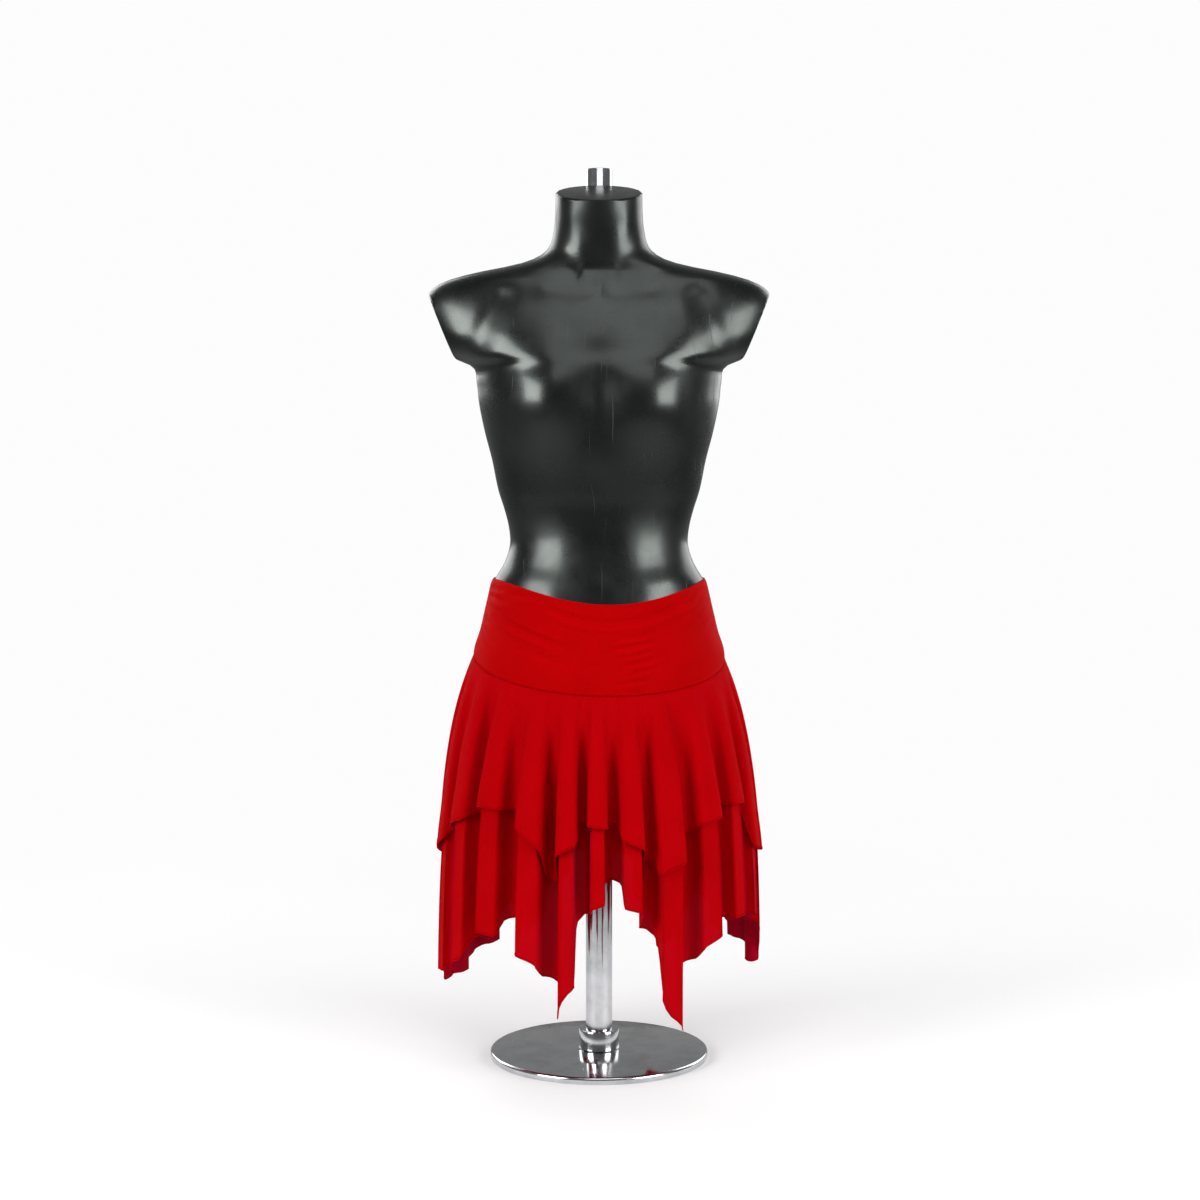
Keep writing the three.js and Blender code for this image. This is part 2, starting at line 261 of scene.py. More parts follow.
FOLDS: tuple[Fold, ...] = (
    Fold(-90, 15, Hem(232, 240, 244, 246), Hem(389, 389, 388, 386)),
    Fold(-77, 13, Hem(240, 226, 214, 204), Hem(390, 386, 380, 374)),
    Fold(-62, 25, Hem(194, 182, 172, 166), Hem(372, 356, 340, 318)),
    Fold(-44.5, 27, Hem(153, 150, 148, 149), Hem(308, 304, 302, 280)),
    Fold(-26, 29, Hem(160, 174, 188, 228), Hem(316, 322, 330, 345), 0.8),
    Fold(-12.4, 27, Hem(194, 182, 172, 152), Hem(390, 356, 338, 262), 2.2),
    Fold(-0.8, 26, Hem(151, 153, 154, 152), Hem(256, 250, 242, 220)),
    Fold(11.8, 25, Hem(166, 174, 184, 198), Hem(248, 254, 262, 282), 0.6),
    Fold(26.4, 26, Hem(214, 207, 200, 172), Hem(346, 386, 408, 330), -0.6),
    Fold(45, 24, Hem(162, 160, 158, 150), Hem(314, 308, 302, 290)),
    Fold(62, 20, Hem(150, 153, 158, 166), Hem(290, 292, 296, 300)),
    Fold(76.5, 17, Hem(216, 222, 226, 230), Hem(302, 306, 312, 322)),
    Fold(90, 13, Hem(238, 238, 234, 200), Hem(334, 360, 388, 392)),
    Fold(106, 15, Hem(156, 152, 156, 166), Hem(398, 392, 382, 372)),
    Fold(123, 26, Hem(160, 154, 150, 148), Hem(376, 364, 350, 330)),
    Fold(138, 28, Hem(150, 157, 164, 184), Hem(322, 328, 336, 358)),
    Fold(152.5, 30, Hem(208, 218, 224, 196), Hem(380, 404, 418, 350)),
    Fold(170.5, 27, Hem(168, 159, 152, 150), Hem(310, 294, 280, 268)),
    Fold(188, 28, Hem(150, 154, 158, 176), Hem(268, 278, 292, 318)),
    Fold(205, 30, Hem(204, 214, 222, 198), Hem(352, 382, 402, 352)),
    Fold(221, 25, Hem(172, 163, 156, 150), Hem(350, 366, 384, 392)),
    Fold(238, 15, Hem(150, 154, 158, 172), Hem(402, 412, 420, 421)),
    Fold(254, 11, Hem(164, 156, 152, 190), Hem(424, 426, 422, 414)),
)
FRONT_FOLDS = 12
BACK_FOLDS = len(FOLDS) - FRONT_FOLDS


class Tier(Enum):
    """The two ruffles of the skirt."""

    UPPER = "upper"
    LOWER = "lower"


@dataclass(frozen=True)
class SkirtShape:
    """The drape of the garment over the hips. Sizes are in millimetres and angles in degrees."""

    torso: TorsoShape = TorsoShape()
    folds: tuple[Fold, ...] = FOLDS
    waist_side: float = 618.0
    seam_side: float = 521.0
    waist_dip: float = 27.0
    waist_rise: float = 14.0
    waist_scoop: float = 2.7
    seam_dip: float = 41.0
    seam_rise: float = 14.0
    dip_turn: float = 6.0
    dip_blend: float = 0.35
    waist_out: float = 1.7
    seam_out: float = 3.2
    flare: float = 51.0
    flare_length: float = 110.0
    fold_length: float = 78.0
    fold_onset: float = 1.45
    onset_variety: float = 0.7
    squareness: float = 0.75
    hem_squareness: float = 0.98
    square_length: float = 312.0
    ridge_widening: float = 0.52
    ridge_edge: float = 0.2
    flank_foot: float = 0.34
    ridge_flat: float = 0.12
    flank_width: float = 0.3
    flank_drop: float = 0.8
    layer_start: float = 1.5
    layer_gap: float = 4.2
    layer_length: float = 30.0
    valley_ease: float = 3.0
    lean_length: float = 400.0
    sway: float = 0.9
    depth_variety: float = 0.12
    surface_ripple: float = 2.2
    gather_depth: float = 1.1
    gather_start: float = 6.0
    gather_length: float = 26.0
    hem_kick: float = 2.6
    hem_kick_length: float = 60.0
    hem_rounding: float = 0.6
    settle_length: float = 20.0
    ripple_length: float = 160.0

    def edge_height(self, angle: float, side: float, dip: float, rise: float, scoop: float = 1.0) -> float:
        """Returns the height of a yoke edge that dips at the front and rises at the back.

        Args:
            angle: Degrees from the front centre.
            side: The edge's height at the side.
            dip: How far it dips at the front.
            rise: How far it rises at the back.
            scoop: How much the dip narrows towards a point, 1 for a plain round edge.

        Returns:
            The height above the floor.
        """
        facing = math.cos(math.radians(angle - self.dip_turn))
        frontness = smoothstep((facing / self.dip_blend + 1.0) / 2.0)
        return side - lerp(rise, dip, frontness) * facing * abs(facing) ** (scoop - 1.0)

    def waist_height(self, angle: float) -> float:
        """Returns the height of the waist edge."""
        return self.edge_height(angle, self.waist_side, self.waist_dip, self.waist_rise, self.waist_scoop)

    def seam_height(self, angle: float) -> float:
        """Returns the height of the seam between the yoke and the tiers."""
        return self.edge_height(angle, self.seam_side, self.seam_dip, self.seam_rise)

    def folds_at(self, place: float) -> tuple[Fold, Fold, float]:
        """Returns the folds on both sides of a place round the skirt.

        Places count the folds from the side seam on the wearer's right, by way of the front.

        Args:
            place: The place, a whole number on each ridge.

        Returns:
            The fold, the one after it, and the share of the way there.
        """
        whole = math.floor(place)
        count = len(self.folds)
        return self.folds[whole % count], self.folds[(whole + 1) % count], place - whole

    def hem_length(self, tier: Tier, place: float) -> float:
        """Returns a tier's length below the yoke seam at a place, on a hem that steps at the folds' flanks.

        Args:
            tier: The ruffle.
            place: The place round the skirt.

        Returns:
            The length in millimetres.
        """
        whole = math.floor(place)
        edge, foot, drop = self.ridge_edge, self.flank_foot, self.flank_drop
        stops: list[tuple[float, float]] = []
        for index in range(whole - 1, whole + 3):
            hem: Hem = getattr(self.folds[index % len(self.folds)], tier.value)
            following: Hem = getattr(self.folds[(index + 1) % len(self.folds)], tier.value)
            stops += [(index, hem.middle), (index + edge, hem.right)]
            stops += [(index + foot, lerp(hem.right, hem.valley, drop)), (index + 0.5, hem.valley)]
            stops += [(index + 1.0 - foot, lerp(following.left, hem.valley, drop))]
            stops += [(index + 1.0 - edge, following.left)]
        upper = next(i for i, stop in enumerate(stops) if stop[0] > place)
        (x0, y0), (x1, y1), (x2, y2), (x3, y3) = stops[upper - 2:upper + 2]
        share = (place - x1) / (x2 - x1)
        slope_low = self.rounded_slope((y1 - y0) / (x1 - x0), (y2 - y1) / (x2 - x1)) * (x2 - x1)
        slope_high = self.rounded_slope((y2 - y1) / (x2 - x1), (y3 - y2) / (x3 - x2)) * (x2 - x1)
        square, cube = share * share, share * share * share
        rounded = y1 * (2 * cube - 3 * square + 1) + slope_low * (cube - 2 * square + share)
        rounded += y2 * (3 * square - 2 * cube) + slope_high * (cube - square)
        return lerp(lerp(y1, y2, share), rounded, self.hem_rounding)

    @staticmethod
    def rounded_slope(before: float, after: float) -> float:
        """Returns the slope of a curve at a stop, level where the hem turns."""
        return 0.0 if before * after <= 0.0 else 2.0 * before * after / (before + after)

    def ripple(self, place: float, length: float, per_fold: float, seed: float) -> float:
        """Returns smooth noise from -1 to 1 that joins up round the skirt.

        Args:
            place: The place round the skirt.
            length: The length below the yoke seam.
            per_fold: How many ripples a fold holds.
            seed: Sets one ripple apart from another.

        Returns:
            The noise value.
        """
        turn = 2.0 * math.pi * place / len(self.folds)
        reach = per_fold * len(self.folds) / (2.0 * math.pi)
        drop = seed + length / self.ripple_length
        return noise.noise(Vector((reach * math.cos(turn) + seed, reach * math.sin(turn), drop)))

    def drape(self, tier: Tier, place: float, length: float, hem: float) -> Point:
        """Returns a point of the cloth before its layer is set back.

        Args:
            tier: The ruffle.
            place: The place round the skirt.
            length: The length below the yoke seam.
            hem: The tier's whole length at that place.

        Returns:
            The point in millimetres.
        """
        fold, following, share = self.folds_at(place)
        pitch = (following.angle - fold.angle + 360.0) % 360.0
        reach = self.fold_length * (1.0 + self.onset_variety * self.ripple(place, 0.0, 0.9, 21.7))
        growth = 1.0 - math.exp(-((length / reach) ** self.fold_onset))
        turn = 2.0 * math.pi * share
        steep = lerp(self.squareness, self.hem_squareness, smoothstep(length / self.square_length))
        squared = steep * math.sin(2.0 * turn) / 2.0 + self.ridge_widening * math.sin(turn)
        angle = fold.angle + pitch * (share + growth * squared / (2.0 * math.pi))
        angle += lerp(fold.lean, following.lean, share) * length / self.lean_length
        angle += self.sway * growth * self.ripple(place, 0.6 * length, 0.5, 3.1)
        boxed = smoothstep((min(share, 1.0 - share) - self.ridge_flat) / self.flank_width)
        valley = lerp((1.0 - math.cos(turn)) / 2.0, boxed, growth)
        out = self.seam_out + self.flare * (1.0 - math.exp(-length / self.flare_length))
        uneven = 1.0 + self.depth_variety * self.ripple(place, length, 0.8, 7.7)
        out -= fold.depth * valley * growth * uneven
        out += self.surface_ripple * growth * self.ripple(place, 0.7 * length, 2.6, 11.3)
        gathers = math.exp(-length / self.gather_length) * smoothstep(length / self.gather_start)
        out += self.gather_depth * gathers * self.ripple(place, length, 7.0, 5.9)
        if tier is Tier.UPPER:
            kick = smoothstep((length - hem + self.hem_kick_length) / self.hem_kick_length)
            out += self.hem_kick * kick
        point = self.torso.point(angle, self.seam_height(angle), out)
        point.z -= length
        return self.clear_of_hips(point, angle, length)

    def clear_of_hips(self, point: Point, angle: float, length: float) -> Point:
        """Moves a point that the hips would touch out to rest against them, with room for the layer behind.

        Args:
            point: The point in millimetres.
            angle: Its angle in degrees.
            length: Its length below the yoke seam.

        Returns:
            The point, moved level.
        """
        behind = self.seam_out + (self.layer_gap - 1.0) * smoothstep(length / self.layer_length)
        hips = self.torso.point(angle, max(point.z, UNDERSIDE), behind)
        reach, least = math.hypot(point.x, point.y), math.hypot(hips.x, hips.y)
        excess = (reach - least) / self.valley_ease
        soft = max(excess, 0.0) + math.log1p(math.exp(-abs(excess)))
        soft -= math.log(2.0) * math.exp(-length / self.settle_length)
        scale = (least + self.valley_ease * soft) / reach
        return Vector((point.x * scale, point.y * scale, point.z))


@dataclass(frozen=True)
class Crease:
    """A soft trough of the yoke from one place to another, with a low ridge below it.

    Angles are in degrees, the drops below the waist edge and the sizes in millimetres.
    """

    start_angle: float
    start_drop: float
    end_angle: float
    end_drop: float
    depth: float
    width: float
    bow: float = 0.0


CREASES: tuple[Crease, ...] = (
    Crease(-54, 14, -25, 4, 0.9, 3.6, -1),
    Crease(-30, 14, 4, 23, 1.5, 4.2, 2),
    Crease(-4, 23, 30, 20, 1.4, 4.2, 1),
    Crease(22, 21, 64, 9, 1.5, 4.6, 1),
    Crease(-76, 27, -46, 45, 1.2, 4.2, 2),
    Crease(-66, 41, -13, 57, 1.8, 3.8, 1),
    Crease(-78, 20, -52, 24, 1.2, 3.2, 1),
    Crease(-84, 11, -56, 11, 1.0, 2.8, 0),
    Crease(-80, 60, -57, 77, 1.2, 3.2, 2),
    Crease(-86, 46, -68, 54, 0.9, 2.8, 1),
    Crease(-46, 70, -16, 74, 0.5, 5.0, 1),
    Crease(9, 43, 30, 37, 1.1, 3.0, 1),
    Crease(4, 54, 28, 48, 1.4, 3.2, 1),
    Crease(14, 63, 26, 60, 0.9, 2.6, 0),
    Crease(9, 75, 31, 67, 1.5, 3.2, 1),
    Crease(14, 83, 27, 80, 0.8, 2.6, 0),
    Crease(7, 97, 24, 94, 1.2, 3.0, 0),
    Crease(-9, 86, 2, 66, 0.5, 4.0, 0),
    Crease(42, 33, 76, 23, 1.3, 3.4, 2),
    Crease(52, 43, 84, 33, 1.1, 3.0, 1),
    Crease(60, 15, 84, 9, 1.1, 2.8, 0),
    Crease(58, 58, 82, 48, 0.9, 3.2, 1),
    Crease(96, 24, 136, 36, 1.4, 3.8, 2),
    Crease(98, 40, 128, 54, 1.2, 3.4, 1),
    Crease(96, 12, 122, 15, 1.0, 2.8, 0),
    Crease(130, 20, 166, 24, 1.3, 4.2, 2),
    Crease(160, 24, 204, 21, 1.4, 4.4, 1),
    Crease(150, 46, 176, 51, 1.1, 3.2, 1),
    Crease(162, 61, 190, 58, 1.3, 3.2, -2),
    Crease(172, 77, 200, 73, 1.1, 3.0, -1),
    Crease(152, 90, 170, 93, 0.9, 3.0, 1),
    Crease(206, 34, 258, 20, 1.6, 4.0, 3),
    Crease(224, 52, 262, 38, 1.2, 3.4, 2),
    Crease(236, 68, 260, 60, 1.0, 3.0, 1),
    Crease(238, 14, 266, 10, 1.0, 2.8, 0),
)


@dataclass(frozen=True)
class YokeShape:
    """The yoke's outer surface with its creases, over the skirt's shape."""

    skirt: SkirtShape = SkirtShape()
    creases: tuple[Crease, ...] = CREASES
    girth_per_degree: float = 2.25
    relief: float = 1.4
    deepest: float = -0.8
    edge_stand: float = 0.9
    seam_stand: float = 0.35
    edge_fade: float = 12.0
    seam_fade: float = 9.0
    soft_relief: float = 0.5
    puckers: float = 0.5
    pucker_reach: float = 5.0
    lip_width: float = 1.1
    lip_below: tuple[float, float] = (0.75, 1.7)
    lip_above: tuple[float, float] = (0.4, 1.8)

    def crease_offset(self, angle: float, drop: float) -> float:
        """Returns how far the creases move the cloth out at a place, in millimetres."""
        offset = 0.0
        for crease in self.creases:
            run = (crease.end_angle - crease.start_angle) * self.girth_per_degree
            fall = crease.end_drop - crease.start_drop
            length = math.hypot(run, fall)
            along = (angle - crease.start_angle) * self.girth_per_degree
            share = (along * run + (drop - crease.start_drop) * fall) / (length * length)
            if not 0.0 < share < 1.0:
                continue
            across = ((drop - crease.start_drop) * run - along * fall) / length
            across -= crease.bow * 4.0 * share * (1.0 - share)
            if abs(across) > 4.0 * crease.width:
                continue
            taper = smoothstep(3.0 * share) * smoothstep(3.0 * (1.0 - share))
            trough = math.exp(-((across / crease.width) ** 2))
            lip_width = self.lip_width * crease.width
            (low_rise, low_place), (high_rise, high_place) = self.lip_below, self.lip_above
            ridge = low_rise * math.exp(-(((across - low_place * crease.width) / lip_width) ** 2))
            ridge += high_rise * math.exp(-(((across + high_place * crease.width) / lip_width) ** 2))
            offset += crease.depth * taper * (ridge - trough)
        return offset

    def point(self, angle: float, share: float) -> Point:
        """Returns a point between the waist edge, share 0, and the seam, share 1, in millimetres."""
        skirt = self.skirt
        top, foot = skirt.waist_height(angle), skirt.seam_height(angle)
        height = lerp(top, foot, share)
        out = lerp(skirt.waist_out, skirt.seam_out, smoothstep(2.0 * share - 1.0))
        out += lerp(self.edge_stand, self.seam_stand, smoothstep(4.0 * share - 3.0))
        fade = smoothstep(self.edge_fade * share) * smoothstep(self.seam_fade * (1.0 - share))
        soft = self.soft_relief * noise.noise(Vector((angle / 14.0, height / 30.0, 2.0)))
        out += max(fade * (self.relief * self.crease_offset(angle, top - height) + soft), self.deepest)
        pucker = math.exp(-abs(height - foot) / self.pucker_reach) * self.puckers
        out += pucker * noise.noise(Vector((angle * 1.4, height / 9.0, 4.0)))
        return skirt.torso.point(angle, height, out)


def select_only(obj: bpy.types.Object) -> None:
    """Selects one object and makes it active."""
    bpy.ops.object.select_all(action="DESELECT")
    obj.select_set(True)
    bpy.context.view_layer.objects.active = obj


def join(objects: Sequence[bpy.types.Object]) -> bpy.types.Object:
    """Joins objects into the first one and returns it."""
    select_only(objects[0])
    for obj in objects[1:]:
        obj.select_set(True)
    bpy.ops.object.join()
    return bpy.context.view_layer.objects.active


def settle(obj: bpy.types.Object) -> None:
    """Puts an object at the origin, unturned and unscaled, with its place in its mesh."""
    select_only(obj)
    bpy.ops.object.transform_apply(location=True, rotation=True, scale=True)


def apply_modifier(obj: bpy.types.Object, kind: str, **settings: object) -> None:
    """Adds a modifier with its settings and applies it."""
    select_only(obj)
    modifier = obj.modifiers.new(kind.title(), kind)
    for name, value in settings.items():
        setattr(modifier, name, value)
    bpy.ops.object.modifier_apply(modifier=modifier.name)


def moved_out(points: Grid, distance: Callable[[int, int], float]) -> Grid:
    """Moves each point of a sheet along its normal.

    Args:
        points: The sheet's points, by column and row.
        distance: Gives how far each point moves, by column and row, outwards if positive.

    Returns:
        The moved points.
    """
    columns, rows = len(points), len(points[0])
    moved: Grid = []
    for i in range(columns):
        line: list[Vector] = []
        for j in range(rows):
            across = points[min(i + 1, columns - 1)][j] - points[max(i - 1, 0)][j]
            down = points[i][min(j + 1, rows - 1)] - points[i][max(j - 1, 0)]
            line.append(points[i][j] + down.cross(across).normalized() * distance(i, j))
        moved.append(line)
    return moved


def sheet_mesh(name: str, points: Grid) -> bpy.types.Object:
    """Makes a sheet of cloth from its points, with a UV map in metres.

    Args:
        name: The object's name.
        points: The points in millimetres, by column and row, the rows going down.

    Returns:
        The new object.
    """
    columns, rows = len(points), len(points[0])
    vertices = [point * MM for line in points for point in line]
    faces = [
        (i * rows + j, i * rows + j + 1, (i + 1) * rows + j + 1, (i + 1) * rows + j)
        for i in range(columns - 1)
        for j in range(rows - 1)
    ]
    middle = rows * 2 // 3
    girth = [0.0]
    for i in range(1, columns):
        girth.append(girth[-1] + (points[i][middle] - points[i - 1][middle]).length * MM)
    drops: list[float] = []
    for line in points:
        drop = 0.0
        for j, point in enumerate(line):
            drop += (point - line[j - 1]).length * MM if j else 0.0
            drops.append(drop)
    mesh = bpy.data.meshes.new(name)
    mesh.from_pydata(vertices, [], faces)
    layer = mesh.uv_layers.new(name="cloth")
    for loop in mesh.loops:
        layer.data[loop.index].uv = (girth[loop.vertex_index // rows], -drops[loop.vertex_index])
    obj = bpy.data.objects.new(name, mesh)
    bpy.context.collection.objects.link(obj)
    select_only(obj)
    bpy.ops.object.shade_smooth()
    return obj


def bead(name: str, points: Sequence[Vector], radius: float) -> bpy.types.Object:
    """Makes a thin round bead of cloth along a line, such as a rolled hem.

    Args:
        name: The object's name.
        points: The line's points in millimetres.
        radius: The bead's radius in millimetres.

    Returns:
        The new mesh object.
    """
    curve = bpy.data.curves.new(name, "CURVE")
    curve.dimensions = "3D"
    curve.bevel_depth = radius * MM
    curve.bevel_resolution = 1
    curve.use_fill_caps = True
    spline = curve.splines.new("POLY")
    spline.points.add(len(points) - 1)
    for knot, point in zip(spline.points, points):
        knot.co = (*(point * MM), 1.0)
    obj = bpy.data.objects.new(name, curve)
    bpy.context.collection.objects.link(obj)
    select_only(obj)
    bpy.ops.object.convert(target="MESH")
    bpy.ops.object.shade_smooth()
    obj.data.uv_layers.new(name="cloth")
    return obj


class NodeTree:
    """A shader tree with short calls for adding and joining nodes."""

    def __init__(self, tree: bpy.types.NodeTree) -> None:
        """Keeps the tree that the nodes go to."""
        self.tree = tree

    def node(self, kind: str, inputs: Inputs | None = None, **settings: object) -> bpy.types.Node:
        """Adds a node.

        Args:
            kind: The node's type, such as ShaderNodeTexNoise.
            inputs: Values, or sockets to join, by the input's name or number.
            **settings: Properties of the node.

        Returns:
            The new node.
        """
        made = self.tree.nodes.new(kind)
        for name, value in settings.items():
            setattr(made, name, value)
        for key, value in (inputs or {}).items():
            if isinstance(value, bpy.types.NodeSocket):
                self.tree.links.new(value, made.inputs[key])
            else:
                made.inputs[key].default_value = value
        return made

    def math(self, operation: str, first: object, second: object = 0.0) -> Socket:
        """Adds a math node and returns its result."""
        return self.node("ShaderNodeMath", {0: first, 1: second}, operation=operation).outputs[0]

    def noise(self, vector: object, scale: float, detail: float = 3.0, rough: float = 0.5) -> Socket:
        """Adds noise texture and returns its value."""
        inputs = {"Vector": vector, "Scale": scale, "Detail": detail, "Roughness": rough}
        return self.node("ShaderNodeTexNoise", inputs).outputs["Fac"]

    def ramp(self, value: object, low: float, high: float, start: object = 0.0, end: object = 1.0) -> Socket:
        """Maps a value from one range to another, clamped, and returns the result."""
        inputs = {"Value": value, "From Min": low, "From Max": high, "To Min": start, "To Max": end}
        return self.node("ShaderNodeMapRange", inputs).outputs["Result"]

    def mix(self, share: object, first: object, second: object) -> Socket:
        """Mixes two colours and returns the result."""
        made = self.node("ShaderNodeMix", data_type="RGBA")
        for socket, value in ((0, share), (6, first), (7, second)):
            if isinstance(value, bpy.types.NodeSocket):
                self.tree.links.new(value, made.inputs[socket])
            else:
                made.inputs[socket].default_value = value
        return made.outputs[2]


def new_group(name: str, inputs: dict[str, float], outputs: Sequence[str]) -> tuple[NodeTree, Node, Node]:
    """Starts a shader node group with plain number inputs and outputs.

    Args:
        name: The group's name.
        inputs: The inputs' names and starting values.
        outputs: The outputs' names.

    Returns:
        The group's tree, its input node and its output node.
    """
    group = bpy.data.node_groups.new(name, "ShaderNodeTree")
    for label, value in inputs.items():
        socket = group.interface.new_socket(name=label, in_out="INPUT", socket_type="NodeSocketFloat")
        socket.default_value = value
    for label in outputs:
        group.interface.new_socket(name=label, in_out="OUTPUT", socket_type="NodeSocketFloat")
    tree = NodeTree(group)
    return tree, tree.node("NodeGroupInput"), tree.node("NodeGroupOutput")


def cloth_grain_group() -> bpy.types.NodeTree:
    """Makes the group for fine knitted cloth: rows of loops on the cloth's own map, fuzz and soft shade."""
    tree, given, result = new_group("Cloth grain", {"Loop size": 0.0009, "Fuzz": 0.5}, ("Height", "Shade"))
    place = tree.node("ShaderNodeUVMap", uv_map="cloth").outputs["UV"]
    solid = tree.node("ShaderNodeTexCoord").outputs["Object"]
    split = tree.node("ShaderNodeSeparateXYZ", {0: place})
    per_metre = tree.math("DIVIDE", 2.0 * math.pi, given.outputs["Loop size"])
    across = tree.math("SINE", tree.math("MULTIPLY", split.outputs[0], per_metre))
    down = tree.math("MULTIPLY", split.outputs[1], per_metre)
    staggered = tree.math("ADD", down, tree.math("MULTIPLY", across, 0.9))
    loops = tree.math("MULTIPLY", tree.math("ABSOLUTE", across), tree.math("SINE", staggered))
    fuzz = tree.noise(solid, 1400.0, 2.0)
    fuzzy = tree.math("MULTIPLY", fuzz, given.outputs["Fuzz"])
    tree.tree.links.new(tree.math("ADD", tree.math("MULTIPLY", loops, 0.5), fuzzy), result.inputs["Height"])
    patches = tree.ramp(tree.noise(solid, 14.0, 4.0, 0.6), 0.3, 0.7)
    loops_shade = tree.ramp(loops, -1.0, 1.0, 0.0, 0.35)
    shade = tree.math("ADD", tree.math("MULTIPLY", patches, 0.65), loops_shade)
    tree.tree.links.new(shade, result.inputs["Shade"])
    return tree.tree


def handling_wear_group() -> bpy.types.NodeTree:
    """Makes the group for handled hard surfaces: fine scratches, smudges and dust as masks from 0 to 1."""
    tree, given, result = new_group("Handling wear", {"Scale": 1.0}, ("Scratches", "Smudges", "Dust"))
    solid = tree.node("ShaderNodeTexCoord").outputs["Object"]
    sized = tree.node("ShaderNodeVectorMath", {0: solid}, operation="SCALE")
    tree.tree.links.new(given.outputs["Scale"], sized.inputs["Scale"])
    warp = tree.node("ShaderNodeTexNoise", {"Vector": sized.outputs[0], "Scale": 6.0, "Detail": 1.0})
    amount = {0: warp.outputs["Color"], 1: (0.06, 0.06, 0.06)}
    bent = tree.node("ShaderNodeVectorMath", amount, operation="MULTIPLY").outputs[0]
    curved = tree.node("ShaderNodeVectorMath", {0: sized.outputs[0], 1: bent}, operation="ADD").outputs[0]
    total: Socket | float = 0.0
    for turn, seed in ((0.7, 1.0), (-0.9, 5.0), (1.6, 9.0), (2.4, 13.0)):
        inputs = {"Vector": curved, "Rotation": (0.3, turn, 0.2), "Location": (seed, seed, seed)}
        inputs["Scale"] = (420.0, 26.0, 11.0)
        turned = tree.node("ShaderNodeMapping", inputs).outputs[0]
        line = tree.ramp(tree.noise(turned, 1.0, 1.0, 0.4), 0.735, 0.765)
        patch = {"Vector": curved, "Location": (0.0, seed, 0.0)}
        there = tree.noise(tree.node("ShaderNodeMapping", patch).outputs[0], 8.0, 1.0)
        total = tree.math("MAXIMUM", tree.math("MULTIPLY", line, tree.ramp(there, 0.5, 0.62)), total)
    tree.tree.links.new(total, result.inputs["Scratches"])
    smudges = tree.ramp(tree.noise(sized.outputs[0], 17.0, 5.0, 0.62), 0.42, 0.68)
    tree.tree.links.new(smudges, result.inputs["Smudges"])
    dust = tree.ramp(tree.noise(sized.outputs[0], 900.0, 2.0, 0.7), 0.68, 0.78)
    tree.tree.links.new(dust, result.inputs["Dust"])
    return tree.tree


def new_material(name: str) -> tuple[bpy.types.Material, NodeTree, bpy.types.Node]:
    """Starts a material.

    Args:
        name: The material's name.

    Returns:
        The material, its tree with no nodes but the output, and the output node.
    """
    material = bpy.data.materials.new(name)
    material.use_nodes = True
    material.node_tree.nodes.clear()
    tree = NodeTree(material.node_tree)
    return material, tree, tree.node("ShaderNodeOutputMaterial")


@dataclass(frozen=True)
class ClothFinish:
    """Stretch cloth, from opaque jersey to sheer mesh, in its dyed colours; the copy for the mesh's inside is
    darker and purple-tinted, with painted shade and a painted tint of light shining through. Colours are
    linear.
    """

    name: str
    deep: tuple[float, float, float]
    bright: tuple[float, float, float]
    loop_size: float
    relief: float
    roughness: float
    glow: float
    sheer: float

    def build(self, grain: bpy.types.NodeTree) -> bpy.types.Material:
        """Makes the material.

        Args:
            grain: The shared cloth grain group.

        Returns:
            The material.
        """
        material, tree, output = new_material(self.name)
        fine = tree.node("ShaderNodeGroup", node_tree=grain)
        fine.inputs["Loop size"].default_value = self.loop_size
        colour = tree.mix(fine.outputs["Shade"], (*self.deep, 1.0), (*self.bright, 1.0))
        bump = tree.node("ShaderNodeBump", {"Height": fine.outputs["Height"], "Strength": 0.55})
        bump.inputs["Distance"].default_value = self.relief
        surface = tree.node("ShaderNodeBsdfPrincipled", {"Base Color": colour, "Normal": bump.outputs[0]})
        surface.inputs["Roughness"].default_value = self.roughness
        surface.inputs["Specular IOR Level"].default_value = 0.05
        surface.inputs["Specular Tint"].default_value = (1.0, 0.1, 0.1, 1.0)
        surface.inputs["Sheen Weight"].default_value = 0.18
        surface.inputs["Sheen Roughness"].default_value = 0.5
        surface.inputs["Sheen Tint"].default_value = (0.9, 0.01, 0.02, 1.0)
        through = tree.node("ShaderNodeBsdfTranslucent", {"Color": (*self.bright, 1.0)})
        lit = tree.node("ShaderNodeMixShader", {0: self.glow, 1: surface.outputs[0], 2: through.outputs[0]})
        clear = tree.node("ShaderNodeBsdfTransparent", {"Color": (1.0, 0.25, 0.45, 1.0)})
        whole = tree.node("ShaderNodeMixShader", {0: self.sheer, 1: lit.outputs[0], 2: clear.outputs[0]})
        tree.tree.links.new(whole.outputs[0], output.inputs["Surface"])
        return material


